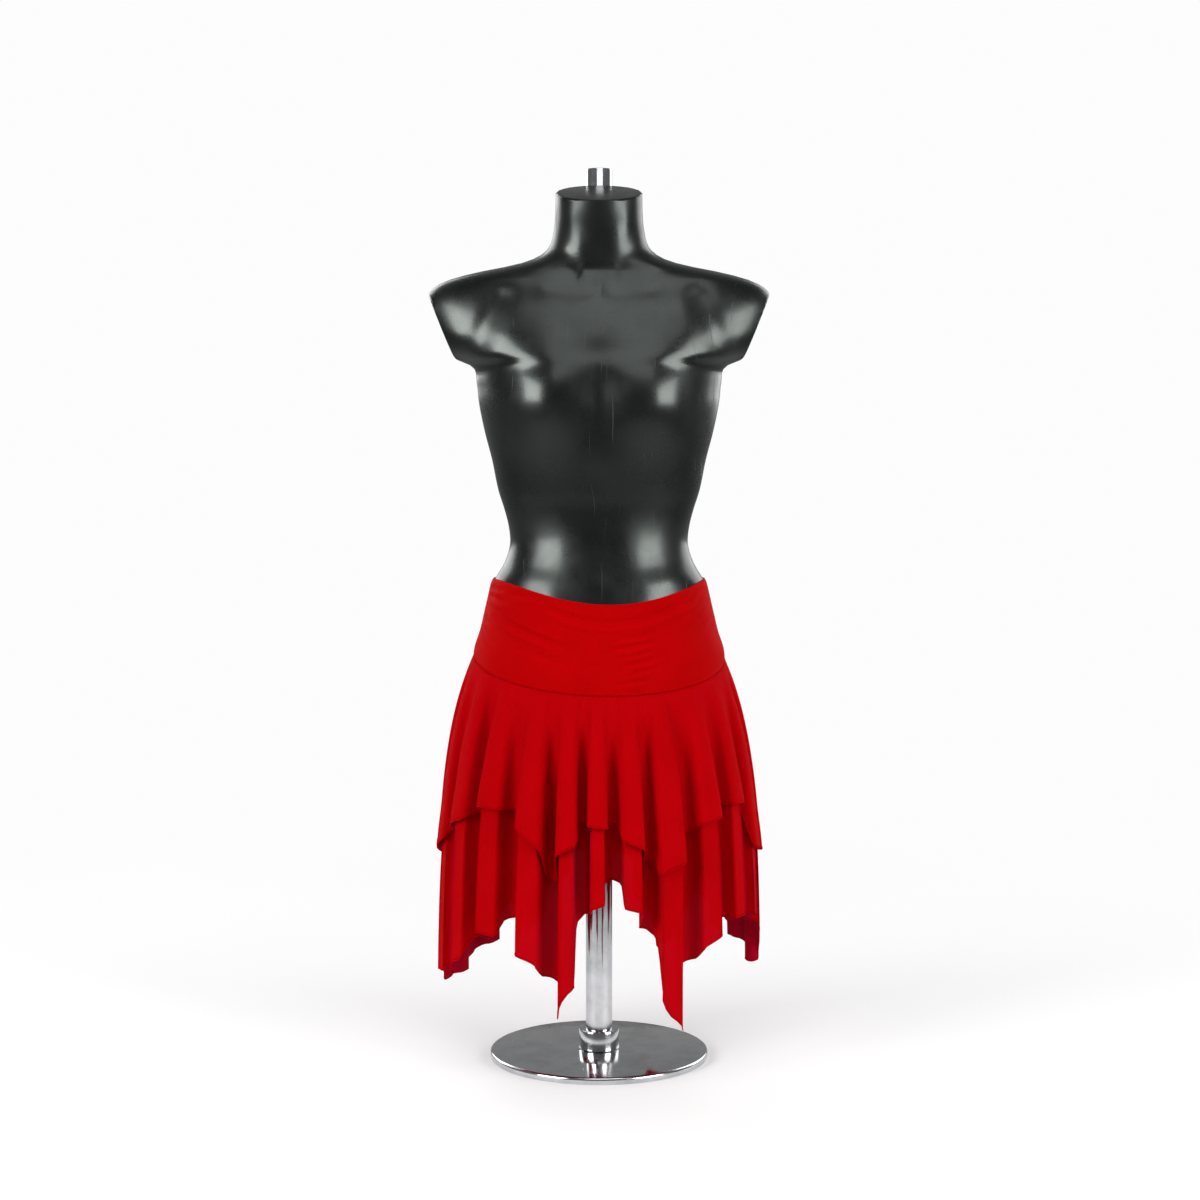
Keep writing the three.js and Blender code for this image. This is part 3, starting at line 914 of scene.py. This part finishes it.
@dataclass(frozen=True)
class PlasticFinish:
    """Glossy moulded plastic with the marks of handling."""

    name: str
    colour: tuple[float, float, float]
    worn: tuple[float, float, float]
    roughness: float

    def build(self, wear: bpy.types.NodeTree) -> bpy.types.Material:
        """Makes the material from the shared wear group."""
        material, tree, output = new_material(self.name)
        marks = tree.node("ShaderNodeGroup", node_tree=wear)
        marks.inputs["Scale"].default_value = 1.0
        scratched = tree.math("MULTIPLY", marks.outputs["Scratches"], 0.2)
        dusty = tree.math("MULTIPLY", marks.outputs["Dust"], 0.05)
        colour = tree.mix(tree.math("MAXIMUM", scratched, dusty), (*self.colour, 1.0), (*self.worn, 1.0))
        rough = tree.ramp(marks.outputs["Smudges"], 0.0, 1.0, self.roughness, self.roughness + 0.12)
        rough = tree.math("ADD", rough, tree.math("MULTIPLY", marks.outputs["Scratches"], 0.2))
        solid = tree.node("ShaderNodeTexCoord").outputs["Object"]
        moulded = tree.noise(solid, 26.0, 2.0)
        height = tree.math("SUBTRACT", moulded, tree.math("MULTIPLY", marks.outputs["Scratches"], 0.3))
        bump = tree.node("ShaderNodeBump", {"Height": height, "Strength": 0.3, "Distance": 0.0004})
        surface = tree.node("ShaderNodeBsdfPrincipled", {"Base Color": colour, "Roughness": rough})
        tree.tree.links.new(bump.outputs[0], surface.inputs["Normal"])
        surface.inputs["Specular IOR Level"].default_value = 0.52
        # The greenish Specular Tint is a painted reflection colour: it tints the reflections like greenish
        # light from the surroundings.
        surface.inputs["Specular Tint"].default_value = (0.9, 1.0, 0.94, 1.0)
        surface.inputs["Coat Weight"].default_value = 0.12
        surface.inputs["Coat Roughness"].default_value = 0.16
        tree.tree.links.new(surface.outputs[0], output.inputs["Surface"])
        return material


@dataclass(frozen=True)
class MetalFinish:
    """Polished or satin plated steel."""

    name: str
    colour: tuple[float, float, float]
    roughness: float

    def build(self, wear: bpy.types.NodeTree) -> bpy.types.Material:
        """Makes the material from the shared wear group."""
        material, tree, output = new_material(self.name)
        marks = tree.node("ShaderNodeGroup", node_tree=wear)
        marks.inputs["Scale"].default_value = 1.7
        rough = tree.ramp(marks.outputs["Smudges"], 0.0, 1.0, self.roughness, self.roughness + 0.1)
        rough = tree.math("ADD", rough, tree.math("MULTIPLY", marks.outputs["Scratches"], 0.15))
        dull = tuple(0.78 * part for part in self.colour)
        colour = tree.mix(marks.outputs["Smudges"], (*self.colour, 1.0), (*dull, 1.0))
        height = tree.math("MULTIPLY", marks.outputs["Scratches"], -1.0)
        bump = tree.node("ShaderNodeBump", {"Height": height, "Strength": 0.2, "Distance": 0.0002})
        surface = tree.node("ShaderNodeBsdfPrincipled", {"Base Color": colour, "Roughness": rough})
        surface.inputs["Metallic"].default_value = 1.0
        tree.tree.links.new(bump.outputs[0], surface.inputs["Normal"])
        tree.tree.links.new(surface.outputs[0], output.inputs["Surface"])
        return material


@dataclass(frozen=True)
class FloorFinish:
    """The pale studio floor, which fades into the bright surroundings away from the stand."""

    colour: tuple[float, float, float] = (0.86, 0.86, 0.865)
    fade_start: float = 0.3
    fade_end: float = 1.7
    surroundings: float = 0.98

    def build(self) -> bpy.types.Material:
        """Makes the material."""
        material, tree, output = new_material("pale floor")
        surface = tree.node("ShaderNodeBsdfPrincipled", {"Base Color": (*self.colour, 1.0), "Roughness": 0.7})
        surface.inputs["Specular IOR Level"].default_value = 0.2
        solid = tree.node("ShaderNodeTexCoord").outputs["Object"]
        away = tree.node("ShaderNodeVectorMath", {0: solid}, operation="LENGTH").outputs["Value"]
        fade = tree.ramp(away, self.fade_start, self.fade_end)
        white = (1.0, 1.0, 1.0, 1.0)
        seen = tree.node("ShaderNodeLightPath").outputs["Is Camera Ray"]
        strength = tree.ramp(seen, 0.0, 1.0, 0.2, self.surroundings)
        bright = tree.node("ShaderNodeEmission", {"Color": white, "Strength": strength})
        whole = tree.node("ShaderNodeMixShader", {0: fade, 1: surface.outputs[0], 2: bright.outputs[0]})
        tree.tree.links.new(whole.outputs[0], output.inputs["Surface"])
        return material


@dataclass
class Finishes:
    """The object's materials, built once."""

    jersey: bpy.types.Material = field(init=False)
    mesh_face: bpy.types.Material = field(init=False)
    mesh_inside_painted_shade: bpy.types.Material = field(init=False)
    plastic: bpy.types.Material = field(init=False)
    chrome: bpy.types.Material = field(init=False)

    def build(self) -> None:
        """Builds the shared groups and the materials that use them."""
        grain, wear = cloth_grain_group(), handling_wear_group()
        jersey = ((0.34, 0.0001, 0.0006), (0.42, 0.0001, 0.001))
        face = ((0.44, 0.0001, 0.0015), (0.54, 0.0002, 0.0035))
        # The inside faces' colours are a darker, purple-tinted copy of the mesh: painted shade with a painted
        # tint of light shining through.
        inside = ((0.40, 0.0005, 0.015), (0.50, 0.001, 0.026))
        knit = {"loop_size": 0.0011, "relief": 0.0003, "roughness": 0.7, "glow": 0.04, "sheer": 0.0}
        net = {"loop_size": 0.0013, "relief": 0.0004, "sheer": 0.12}
        self.jersey = ClothFinish("red jersey", *jersey, **knit).build(grain)
        self.mesh_face = ClothFinish("red mesh", *face, roughness=0.75, glow=0.2, **net).build(grain)
        self.mesh_inside_painted_shade = ClothFinish(
            "red mesh inside", *inside, roughness=0.8, glow=0.28, **net
        ).build(grain)
        black, worn = (0.0022, 0.0025, 0.003), (0.09, 0.095, 0.1)
        self.plastic = PlasticFinish("black plastic", black, worn, 0.26).build(wear)
        self.chrome = MetalFinish("chromed steel", (0.62, 0.63, 0.65), 0.09).build(wear)


@dataclass(frozen=True)
class Panel:
    """One cut piece of the skirt between two side seams, its flat size in metres and what it hangs on."""

    node: str
    first_fold: int
    fold_count: int
    flat: tuple[float, float]
    area: float
    rests_on: str


@dataclass
class Yoke:
    """The scooped stretch yoke: two panels, turned in at the waist and sewn down the sides."""

    finishes: Finishes
    shape: YokeShape = YokeShape()
    panels: tuple[Panel, ...] = (
        Panel("yoke_front", 0, FRONT_FOLDS, (0.42, 0.13), 0.044, "dress_form"),
        Panel("yoke_back", FRONT_FOLDS, BACK_FOLDS, (0.40, 0.12), 0.040, "dress_form"),
    )
    columns: int = 168
    rows: int = 50
    turning: tuple[tuple[float, float], ...] = (
        (-1.9, 11.0),
        (-1.9, 4.0),
        (-1.7, 0.9),
        (-1.0, 0.1),
        (-0.2, 0.4),
    )
    seam_tuck: float = 0.8
    tuck_width: float = 1.1
    turned_edge: float = 1.6
    foot_roll: float = 0.5
    foot_roll_height: float = 1.2
    thickness: float = 0.9

    def panel_points(self, start: float, end: float) -> Grid:
        """Returns a panel's points: the turning behind the waist edge, then the face down to the seam."""
        points: Grid = []
        for i in range(self.columns + 1):
            across = i / self.columns
            angle = lerp(start, end, across)
            side = min(across, 1.0 - across) * abs(end - start) * self.shape.girth_per_degree
            dent = -self.seam_tuck * math.exp(-((side / self.tuck_width) ** 2))
            height = self.shape.skirt.waist_height(angle) - self.shape.skirt.seam_height(angle)
            line: list[Vector] = []
            for back, drop in self.turning:
                point = self.shape.point(angle, drop / height)
                line.append(self.outward(point, angle, back + dent))
            for j in range(self.rows + 1):
                share = lerp(self.turned_edge / height, 1.0, j / self.rows)
                roll = -self.foot_roll * smoothstep((share - 1.0) * height / self.foot_roll_height + 1.0)
                line.append(self.outward(self.shape.point(angle, share), angle, dent + roll))
            points.append(line)
        return points

    @staticmethod
    def outward(point: Point, angle: float, distance: float) -> Point:
        """Moves a point level and away from the torso."""
        turn = math.radians(angle)
        return point + Vector((math.sin(turn), -math.cos(turn), 0.0)) * distance

    def build(self) -> None:
        """Builds both panels and dresses them."""
        for panel, (start, end) in zip(self.panels, ((-90.0, 90.0), (90.0, 270.0))):
            sheet = sheet_mesh(f"{panel.node}_cloth", self.panel_points(start, end))
            log.info("%s face area %.4f m2", panel.node, face_area(sheet))
            sheet.data.materials.append(self.finishes.jersey)
            apply_modifier(sheet, "SOLIDIFY", thickness=self.thickness * MM, offset=-1.0, use_rim=True)
            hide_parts(panel.node)
            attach(sheet, "root")


@dataclass
class Ruffles:
    """The two tiers of sheer mesh, each of two panels with a rolled hem."""

    finishes: Finishes
    shape: SkirtShape = SkirtShape()
    panels: tuple[tuple[Tier, Panel], ...] = (
        (Tier.UPPER, Panel("upper_tier_front", 0, FRONT_FOLDS, (1.1, 0.25), 0.137, "yoke_front_cloth")),
        (
            Tier.UPPER,
            Panel("upper_tier_back", FRONT_FOLDS, BACK_FOLDS, (1.15, 0.24), 0.13, "yoke_back_cloth"),
        ),
        (Tier.LOWER, Panel("lower_tier_front", 0, FRONT_FOLDS, (1.3, 0.41), 0.265, "yoke_front_cloth")),
        (
            Tier.LOWER,
            Panel("lower_tier_back", FRONT_FOLDS, BACK_FOLDS, (1.25, 0.43), 0.31, "yoke_back_cloth"),
        ),
    )
    columns_per_fold: int = 18
    row_height: float = 5.5
    thickness: float = 0.45
    hem_radius: float = 0.75

    def layer_offset(self, tier: Tier, length: float) -> float:
        """Returns how far a tier's cloth lies out from the drape at a length below the seam."""
        if tier is Tier.UPPER:
            return 0.0
        skirt = self.shape
        return -lerp(skirt.layer_start, skirt.layer_gap, smoothstep(length / skirt.layer_length))

    def panel_points(self, tier: Tier, panel: Panel) -> Grid:
        """Returns a panel's points from the yoke seam down to the hem, in millimetres."""
        longest = max(max(vars(getattr(fold, tier.value)).values()) for fold in FOLDS)
        rows = round(longest / self.row_height)
        count = panel.fold_count * self.columns_per_fold
        lengths: list[list[float]] = []
        points: Grid = []
        for i in range(count + 1):
            place = panel.first_fold + i / self.columns_per_fold
            hem = self.shape.hem_length(tier, place)
            lengths.append([hem * j / rows for j in range(rows + 1)])
            points.append([self.shape.drape(tier, place, length, hem) for length in lengths[-1]])
        return moved_out(points, lambda i, j: self.layer_offset(tier, lengths[i][j]))

    def build(self) -> None:
        """Builds the four panels and dresses them."""
        for tier, panel in self.panels:
            points = self.panel_points(tier, panel)
            sheet = sheet_mesh(f"{panel.node}_cloth", points)
            log.info("%s face area %.4f m2, hem %.3f m", panel.node, face_area(sheet), run_length(points))
            sheet.data.materials.append(self.finishes.mesh_face)
            # Second slot, for the inner faces: the mesh with painted shade on its inside.
            sheet.data.materials.append(self.finishes.mesh_inside_painted_shade)
            apply_modifier(
                sheet, "SOLIDIFY", thickness=self.thickness * MM, offset=-1.0, use_rim=True, material_offset=1
            )
            roll = bead("hem", [line[-1] for line in points], self.hem_radius)
            roll.data.materials.append(self.finishes.mesh_face)
            sheet = join([sheet, roll])
            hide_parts(panel.node)
            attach(sheet, "root")


def face_area(obj: bpy.types.Object) -> float:
    """Returns the area of an object's faces in square metres."""
    return sum(face.area for face in obj.data.polygons)


def run_length(points: Grid) -> float:
    """Returns the length of a sheet's last row in metres."""
    return sum((a[-1] - b[-1]).length for a, b in zip(points, points[1:])) * MM


@dataclass
class DressForm:
    """The limbless torso: raised ring by ring, cut flat at the neck and the arm stubs, bored for the pole."""

    finishes: Finishes
    shape: TorsoShape = TorsoShape()
    columns: int = 168
    ring_step: float = 5.0
    neck_slant: float = 17.0
    stub_top: tuple[float, float] = (210.0, 966.0)
    stub_foot: tuple[float, float] = (178.0, 889.0)
    edge_round: float = 3.0
    merge_share: float = 0.6
    neck_reach: float = 1.03
    stub_reach: tuple[float, float] = (0.16, 0.878)
    bore_radius: float = 17.4
    bore_height: float = 0.75
    bore_length: float = 1.2

    def raise_rings(self) -> bpy.types.Object:
        """Draws the underside's ring and extrudes it up through the torso's sections."""
        heights = [UNDERSIDE]
        while heights[-1] < NECK_TOP + 29.0:
            heights.append(min(heights[-1] + self.ring_step, NECK_TOP + 30.0))
        bpy.ops.object.select_all(action="DESELECT")
        bpy.ops.mesh.primitive_circle_add(vertices=self.columns, radius=0.1, fill_type="NGON")
        torso = bpy.context.object
        torso.name = "dress_form_shell"
        bpy.ops.object.mode_set(mode="EDIT")
        for index, height in enumerate(heights):
            if index:
                bpy.ops.mesh.extrude_region_move()
            mesh = bmesh.from_edit_mesh(torso.data)
            chosen = [vertex for vertex in mesh.verts if vertex.select]
            chosen.sort(key=lambda vertex: math.atan2(vertex.co.x, vertex.co.y))
            for number, vertex in enumerate(chosen):
                angle = 360.0 * (1.0 - (number + 0.5) / self.columns)
                vertex.co = self.shape.point(angle, height, chest=True) * MM
            bmesh.update_edit_mesh(torso.data)
        return torso

    def cut(self, place: Point, facing: Point, chosen: Callable[[Point], bool]) -> None:
        """Cuts the chosen part of the torso flat and rounds the new edge.

        Args:
            place: A point of the cutting plane in metres.
            facing: The plane's normal, towards what is taken off.
            chosen: Tells which vertices the cut may touch.
        """
        torso = bpy.context.object
        bpy.ops.mesh.select_mode(type="VERT")
        bpy.ops.mesh.select_all(action="DESELECT")
        mesh = bmesh.from_edit_mesh(torso.data)
        for vertex in mesh.verts:
            vertex.select = chosen(vertex.co)
        mesh.select_flush_mode()
        bmesh.update_edit_mesh(torso.data)
        bpy.ops.mesh.bisect(plane_co=place, plane_no=facing, use_fill=True, clear_outer=True)
        bpy.ops.mesh.remove_doubles(threshold=self.edge_round * MM * self.merge_share)
        bpy.ops.mesh.bevel(offset=self.edge_round * MM, segments=4, affect="EDGES")

    def build(self) -> None:
        """Builds the torso and dresses it."""
        torso = self.raise_rings()
        slant = math.radians(self.neck_slant)
        neck = Vector((0.0, self.shape.at(NECK_TOP).lean, NECK_TOP)) * MM
        facing = Vector((0.0, -math.sin(slant), math.cos(slant)))
        self.cut(neck, facing, lambda place: place.z > self.neck_reach)
        (top_x, top_z), (foot_x, foot_z) = self.stub_top, self.stub_foot
        reach_x, reach_z = self.stub_reach
        along = Vector((top_x - foot_x, 0.0, top_z - foot_z)).normalized()
        for side in (1.0, -1.0):
            place = Vector((side * self.stub_top[0], 0.0, self.stub_top[1])) * MM
            facing = Vector((side * along.z, 0.0, -along.x))
            self.cut(place, facing, lambda spot: side * spot.x > reach_x and spot.z > reach_z)
        bpy.ops.object.mode_set(mode="OBJECT")
        self.bore(torso)
        select_only(torso)
        bpy.ops.object.shade_smooth_by_angle(angle=math.radians(38.0))
        torso.data.materials.clear()
        torso.data.materials.append(self.finishes.plastic)
        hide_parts("dress_form")
        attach(torso, "root")

    def bore(self, torso: bpy.types.Object) -> None:
        """Bores the torso for the pole, from its underside to its nape."""
        low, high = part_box("stand_pole")
        middle = ((low[0] + high[0]) / 2.0, (low[1] + high[1]) / 2.0, self.bore_height)
        bpy.ops.object.select_all(action="DESELECT")
        bpy.ops.mesh.primitive_cylinder_add(
            vertices=64, radius=self.bore_radius * MM, depth=self.bore_length, location=middle
        )
        cutter = bpy.context.object
        apply_modifier(torso, "BOOLEAN", operation="DIFFERENCE", object=cutter, solver="EXACT")
        bpy.data.objects.remove(cutter)


@dataclass
class Stand:
    """The chromed pole with its plug, its two collars with grub screws, and the heavy round base."""

    finishes: Finishes
    pole_radius: float = 17.0
    collar_radius: float = 26.0
    collar_gap: float = 0.4
    screw_radius: float = 3.2
    screw_depth: float = 2.4
    socket_rim: float = 1.3
    socket_depth: float = 1.8
    steps: int = 96

    def lathe(self, name: str, profile: Sequence[tuple[float, float]], axis_y: float) -> bpy.types.Object:
        """Turns a profile round an upright axis.

        Args:
            name: The object's name.
            profile: Radii and heights in millimetres, from the foot to the head.
            axis_y: The axis's y in metres.

        Returns:
            The new object.
        """
        bpy.ops.object.select_all(action="DESELECT")
        bpy.ops.mesh.primitive_plane_add(size=0.01)
        turned = bpy.context.object
        turned.name = name
        bpy.ops.object.mode_set(mode="EDIT")
        bpy.ops.mesh.delete(type="VERT")
        mesh = bmesh.from_edit_mesh(turned.data)
        knots = [mesh.verts.new((radius * MM, axis_y, height * MM)) for radius, height in profile]
        for first, second in zip(knots, knots[1:]):
            mesh.edges.new((first, second))
        for part in (*mesh.verts, *mesh.edges):
            part.select = True
        bmesh.update_edit_mesh(turned.data)
        centre = (0.0, axis_y, 0.0)
        bpy.ops.mesh.spin(steps=self.steps, angle=2.0 * math.pi, center=centre, axis=(0.0, 0.0, 1.0))
        bpy.ops.mesh.select_all(action="SELECT")
        bpy.ops.mesh.remove_doubles(threshold=0.00002)
        bpy.ops.mesh.normals_make_consistent(inside=False)
        bpy.ops.object.mode_set(mode="OBJECT")
        bpy.ops.object.shade_smooth_by_angle(angle=math.radians(35.0))
        return turned

    def dress(self, piece: bpy.types.Object, node: str) -> None:
        """Gives a piece its material and puts it in its node's place."""
        piece.data.materials.clear()
        piece.data.materials.append(self.finishes.chrome)
        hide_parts(node)
        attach(piece, "root")

    def build(self) -> None:
        """Builds the pole, the collars and the base."""
        low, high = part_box("stand_pole")
        axis_y = (low[1] + high[1]) / 2.0
        foot, head = low[2] / MM, high[2] / MM
        radius = self.pole_radius
        pole = [(0.0, foot), (radius, foot), (radius, head - 1.2), (radius - 0.4, head - 0.4)]
        pole += [(radius - 1.2, head), (radius - 2.2, head), (radius - 2.4, head - 1.4), (0.0, head - 1.0)]
        self.dress(self.lathe("pole_tube", pole, axis_y), "stand_pole")
        for node in ("base_collar", "form_collar"):
            self.build_collar(node, axis_y)
        low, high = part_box("stand_base")
        radius, top = (high[0] - low[0]) / 2.0 / MM, high[2] / MM
        base = [(0.0, 0.0), (radius - 1.5, 0.0), (radius - 0.4, 0.4), (radius, 1.5), (radius, top - 3.0)]
        base += [(radius - 0.5, top - 1.6), (radius - 1.6, top - 0.5), (radius - 3.2, top), (0.0, top)]
        self.dress(self.lathe("round_base", base, axis_y), "stand_base")

    def build_collar(self, node: str, axis_y: float) -> None:
        """Builds one collar with its grub screw at the back."""
        low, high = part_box(node)
        foot, head = low[2] / MM, high[2] / MM
        inner, outer = self.pole_radius + self.collar_gap, self.collar_radius
        ring = [(inner, foot), (outer - 1.2, foot), (outer, foot + 1.2), (outer, head - 2.4)]
        ring += [(outer - 0.7, head - 0.7), (outer - 2.4, head), (inner, head), (inner, foot)]
        collar = self.lathe(f"{node}_ring", ring, axis_y)
        bpy.ops.object.select_all(action="DESELECT")
        place = (0.0, axis_y + outer * MM, (foot + head) / 2.0 * MM)
        turn = (math.radians(-90.0), 0.0, 0.0)
        size = {"radius": self.screw_radius * MM, "depth": self.screw_depth * MM}
        bpy.ops.mesh.primitive_cylinder_add(vertices=24, location=place, rotation=turn, **size)
        screw = bpy.context.object
        bpy.ops.object.mode_set(mode="EDIT")
        mesh = bmesh.from_edit_mesh(screw.data)
        for face in mesh.faces:
            face.select = face.normal.z > 0.9
        bmesh.update_edit_mesh(screw.data)
        bpy.ops.mesh.inset(thickness=self.socket_rim * MM)
        sink = {"value": (0.0, -self.socket_depth * MM, 0.0)}
        bpy.ops.mesh.extrude_region_move(TRANSFORM_OT_translate=sink)
        bpy.ops.object.mode_set(mode="OBJECT")
        settle(screw)
        self.dress(join([collar, screw]), node)


@dataclass(frozen=True)
class SoftLight:
    """A square soft light that faces the skirt. Places are in metres and the power in watts."""

    name: str
    place: tuple[float, float, float]
    size: float
    power: float
    colour: tuple[float, float, float] = (1.0, 1.0, 1.0)


@dataclass
class Studio:
    """The floor, the soft light and the camera at the photo's viewing angle."""

    target: tuple[float, float, float] = (0.00125, 0.0, 0.59)
    distance: float = 2.8
    elevation: float = 4.0
    view_width: float = 1.5
    backdrop: float = 0.98
    ambient: float = 0.32
    reflected_front: float = 0.14
    reflected_back: float = 0.26
    lights: tuple[SoftLight, ...] = (
        SoftLight("key", (-2.3, -1.75, 1.4), 1.5, 74.0),
        SoftLight("fill", (2.35, -1.7, 1.2), 1.6, 67.0),
        SoftLight("top", (0.2, -1.4, 2.8), 1.9, 22.0),
        SoftLight("back_left", (-2.0, 2.4, 1.9), 2.3, 48.0),
        SoftLight("back_right", (2.1, 2.2, 1.7), 2.3, 38.0),
    )

    def build_floor(self) -> None:
        """Lays the floor."""
        bpy.ops.object.select_all(action="DESELECT")
        bpy.ops.mesh.primitive_plane_add(size=60.0)
        floor = bpy.context.object
        floor.name = "floor"
        floor.data.materials.append(FloorFinish().build())

    def build_lights(self) -> None:
        """Hangs the soft lights and sets the pale surroundings."""
        middle = Vector(self.target)
        for light in self.lights:
            lamp = bpy.data.lights.new(light.name, "AREA")
            lamp.size = light.size
            lamp.energy = light.power
            lamp.color = light.colour
            holder = bpy.data.objects.new(light.name, lamp)
            holder.location = light.place
            holder.rotation_euler = (middle - Vector(light.place)).to_track_quat("-Z", "Y").to_euler()
            bpy.context.collection.objects.link(holder)
        world = bpy.data.worlds.new("pale surroundings")
        world.use_nodes = True
        world.node_tree.nodes.clear()
        tree = NodeTree(world.node_tree)
        path = tree.node("ShaderNodeLightPath")
        facing = tree.node("ShaderNodeTexCoord").outputs["Generated"]
        behind = tree.node("ShaderNodeSeparateXYZ", {0: facing}).outputs["Y"]
        mirrored = tree.ramp(behind, 0.1, 0.8, self.reflected_front, self.reflected_back)
        unseen = tree.ramp(path.outputs["Is Glossy Ray"], 0.0, 1.0, self.ambient, mirrored)
        strength = tree.ramp(path.outputs["Is Camera Ray"], 0.0, 1.0, unseen, self.backdrop)
        shine = tree.node("ShaderNodeBackground", {"Color": (1.0, 1.0, 1.0, 1.0), "Strength": strength})
        output = tree.node("ShaderNodeOutputWorld")
        tree.tree.links.new(shine.outputs[0], output.inputs["Surface"])
        bpy.context.scene.world = world

    def build_camera(self) -> None:
        """Sets the camera at the photo's distance and height."""
        lens = bpy.data.cameras.new("camera")
        lens.sensor_width = 36.0
        lens.lens = lens.sensor_width * self.distance / self.view_width
        holder = bpy.data.objects.new("camera", lens)
        rise = math.radians(self.elevation)
        offset = Vector((0.0, -math.cos(rise), math.sin(rise))) * self.distance
        holder.location = Vector(self.target) + offset
        holder.rotation_euler = (-offset).to_track_quat("-Z", "Y").to_euler()
        bpy.context.collection.objects.link(holder)
        bpy.context.scene.camera = holder

    def build(self) -> None:
        """Builds the studio."""
        bpy.context.scene.view_settings.view_transform = "Standard"
        self.build_floor()
        self.build_lights()
        self.build_camera()


def main() -> None:
    """Builds the object's sub-assemblies in order, and the studio round them."""
    logging.basicConfig(level=logging.INFO, format="%(name)s: %(message)s")
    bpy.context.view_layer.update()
    finishes = Finishes()
    finishes.build()
    for assembly in (DressForm(finishes), Stand(finishes), Yoke(finishes), Ruffles(finishes)):
        assembly.build()
        log.info("built %s", type(assembly).__name__)
    Studio().build()


if __name__ == "__main__":
    main()
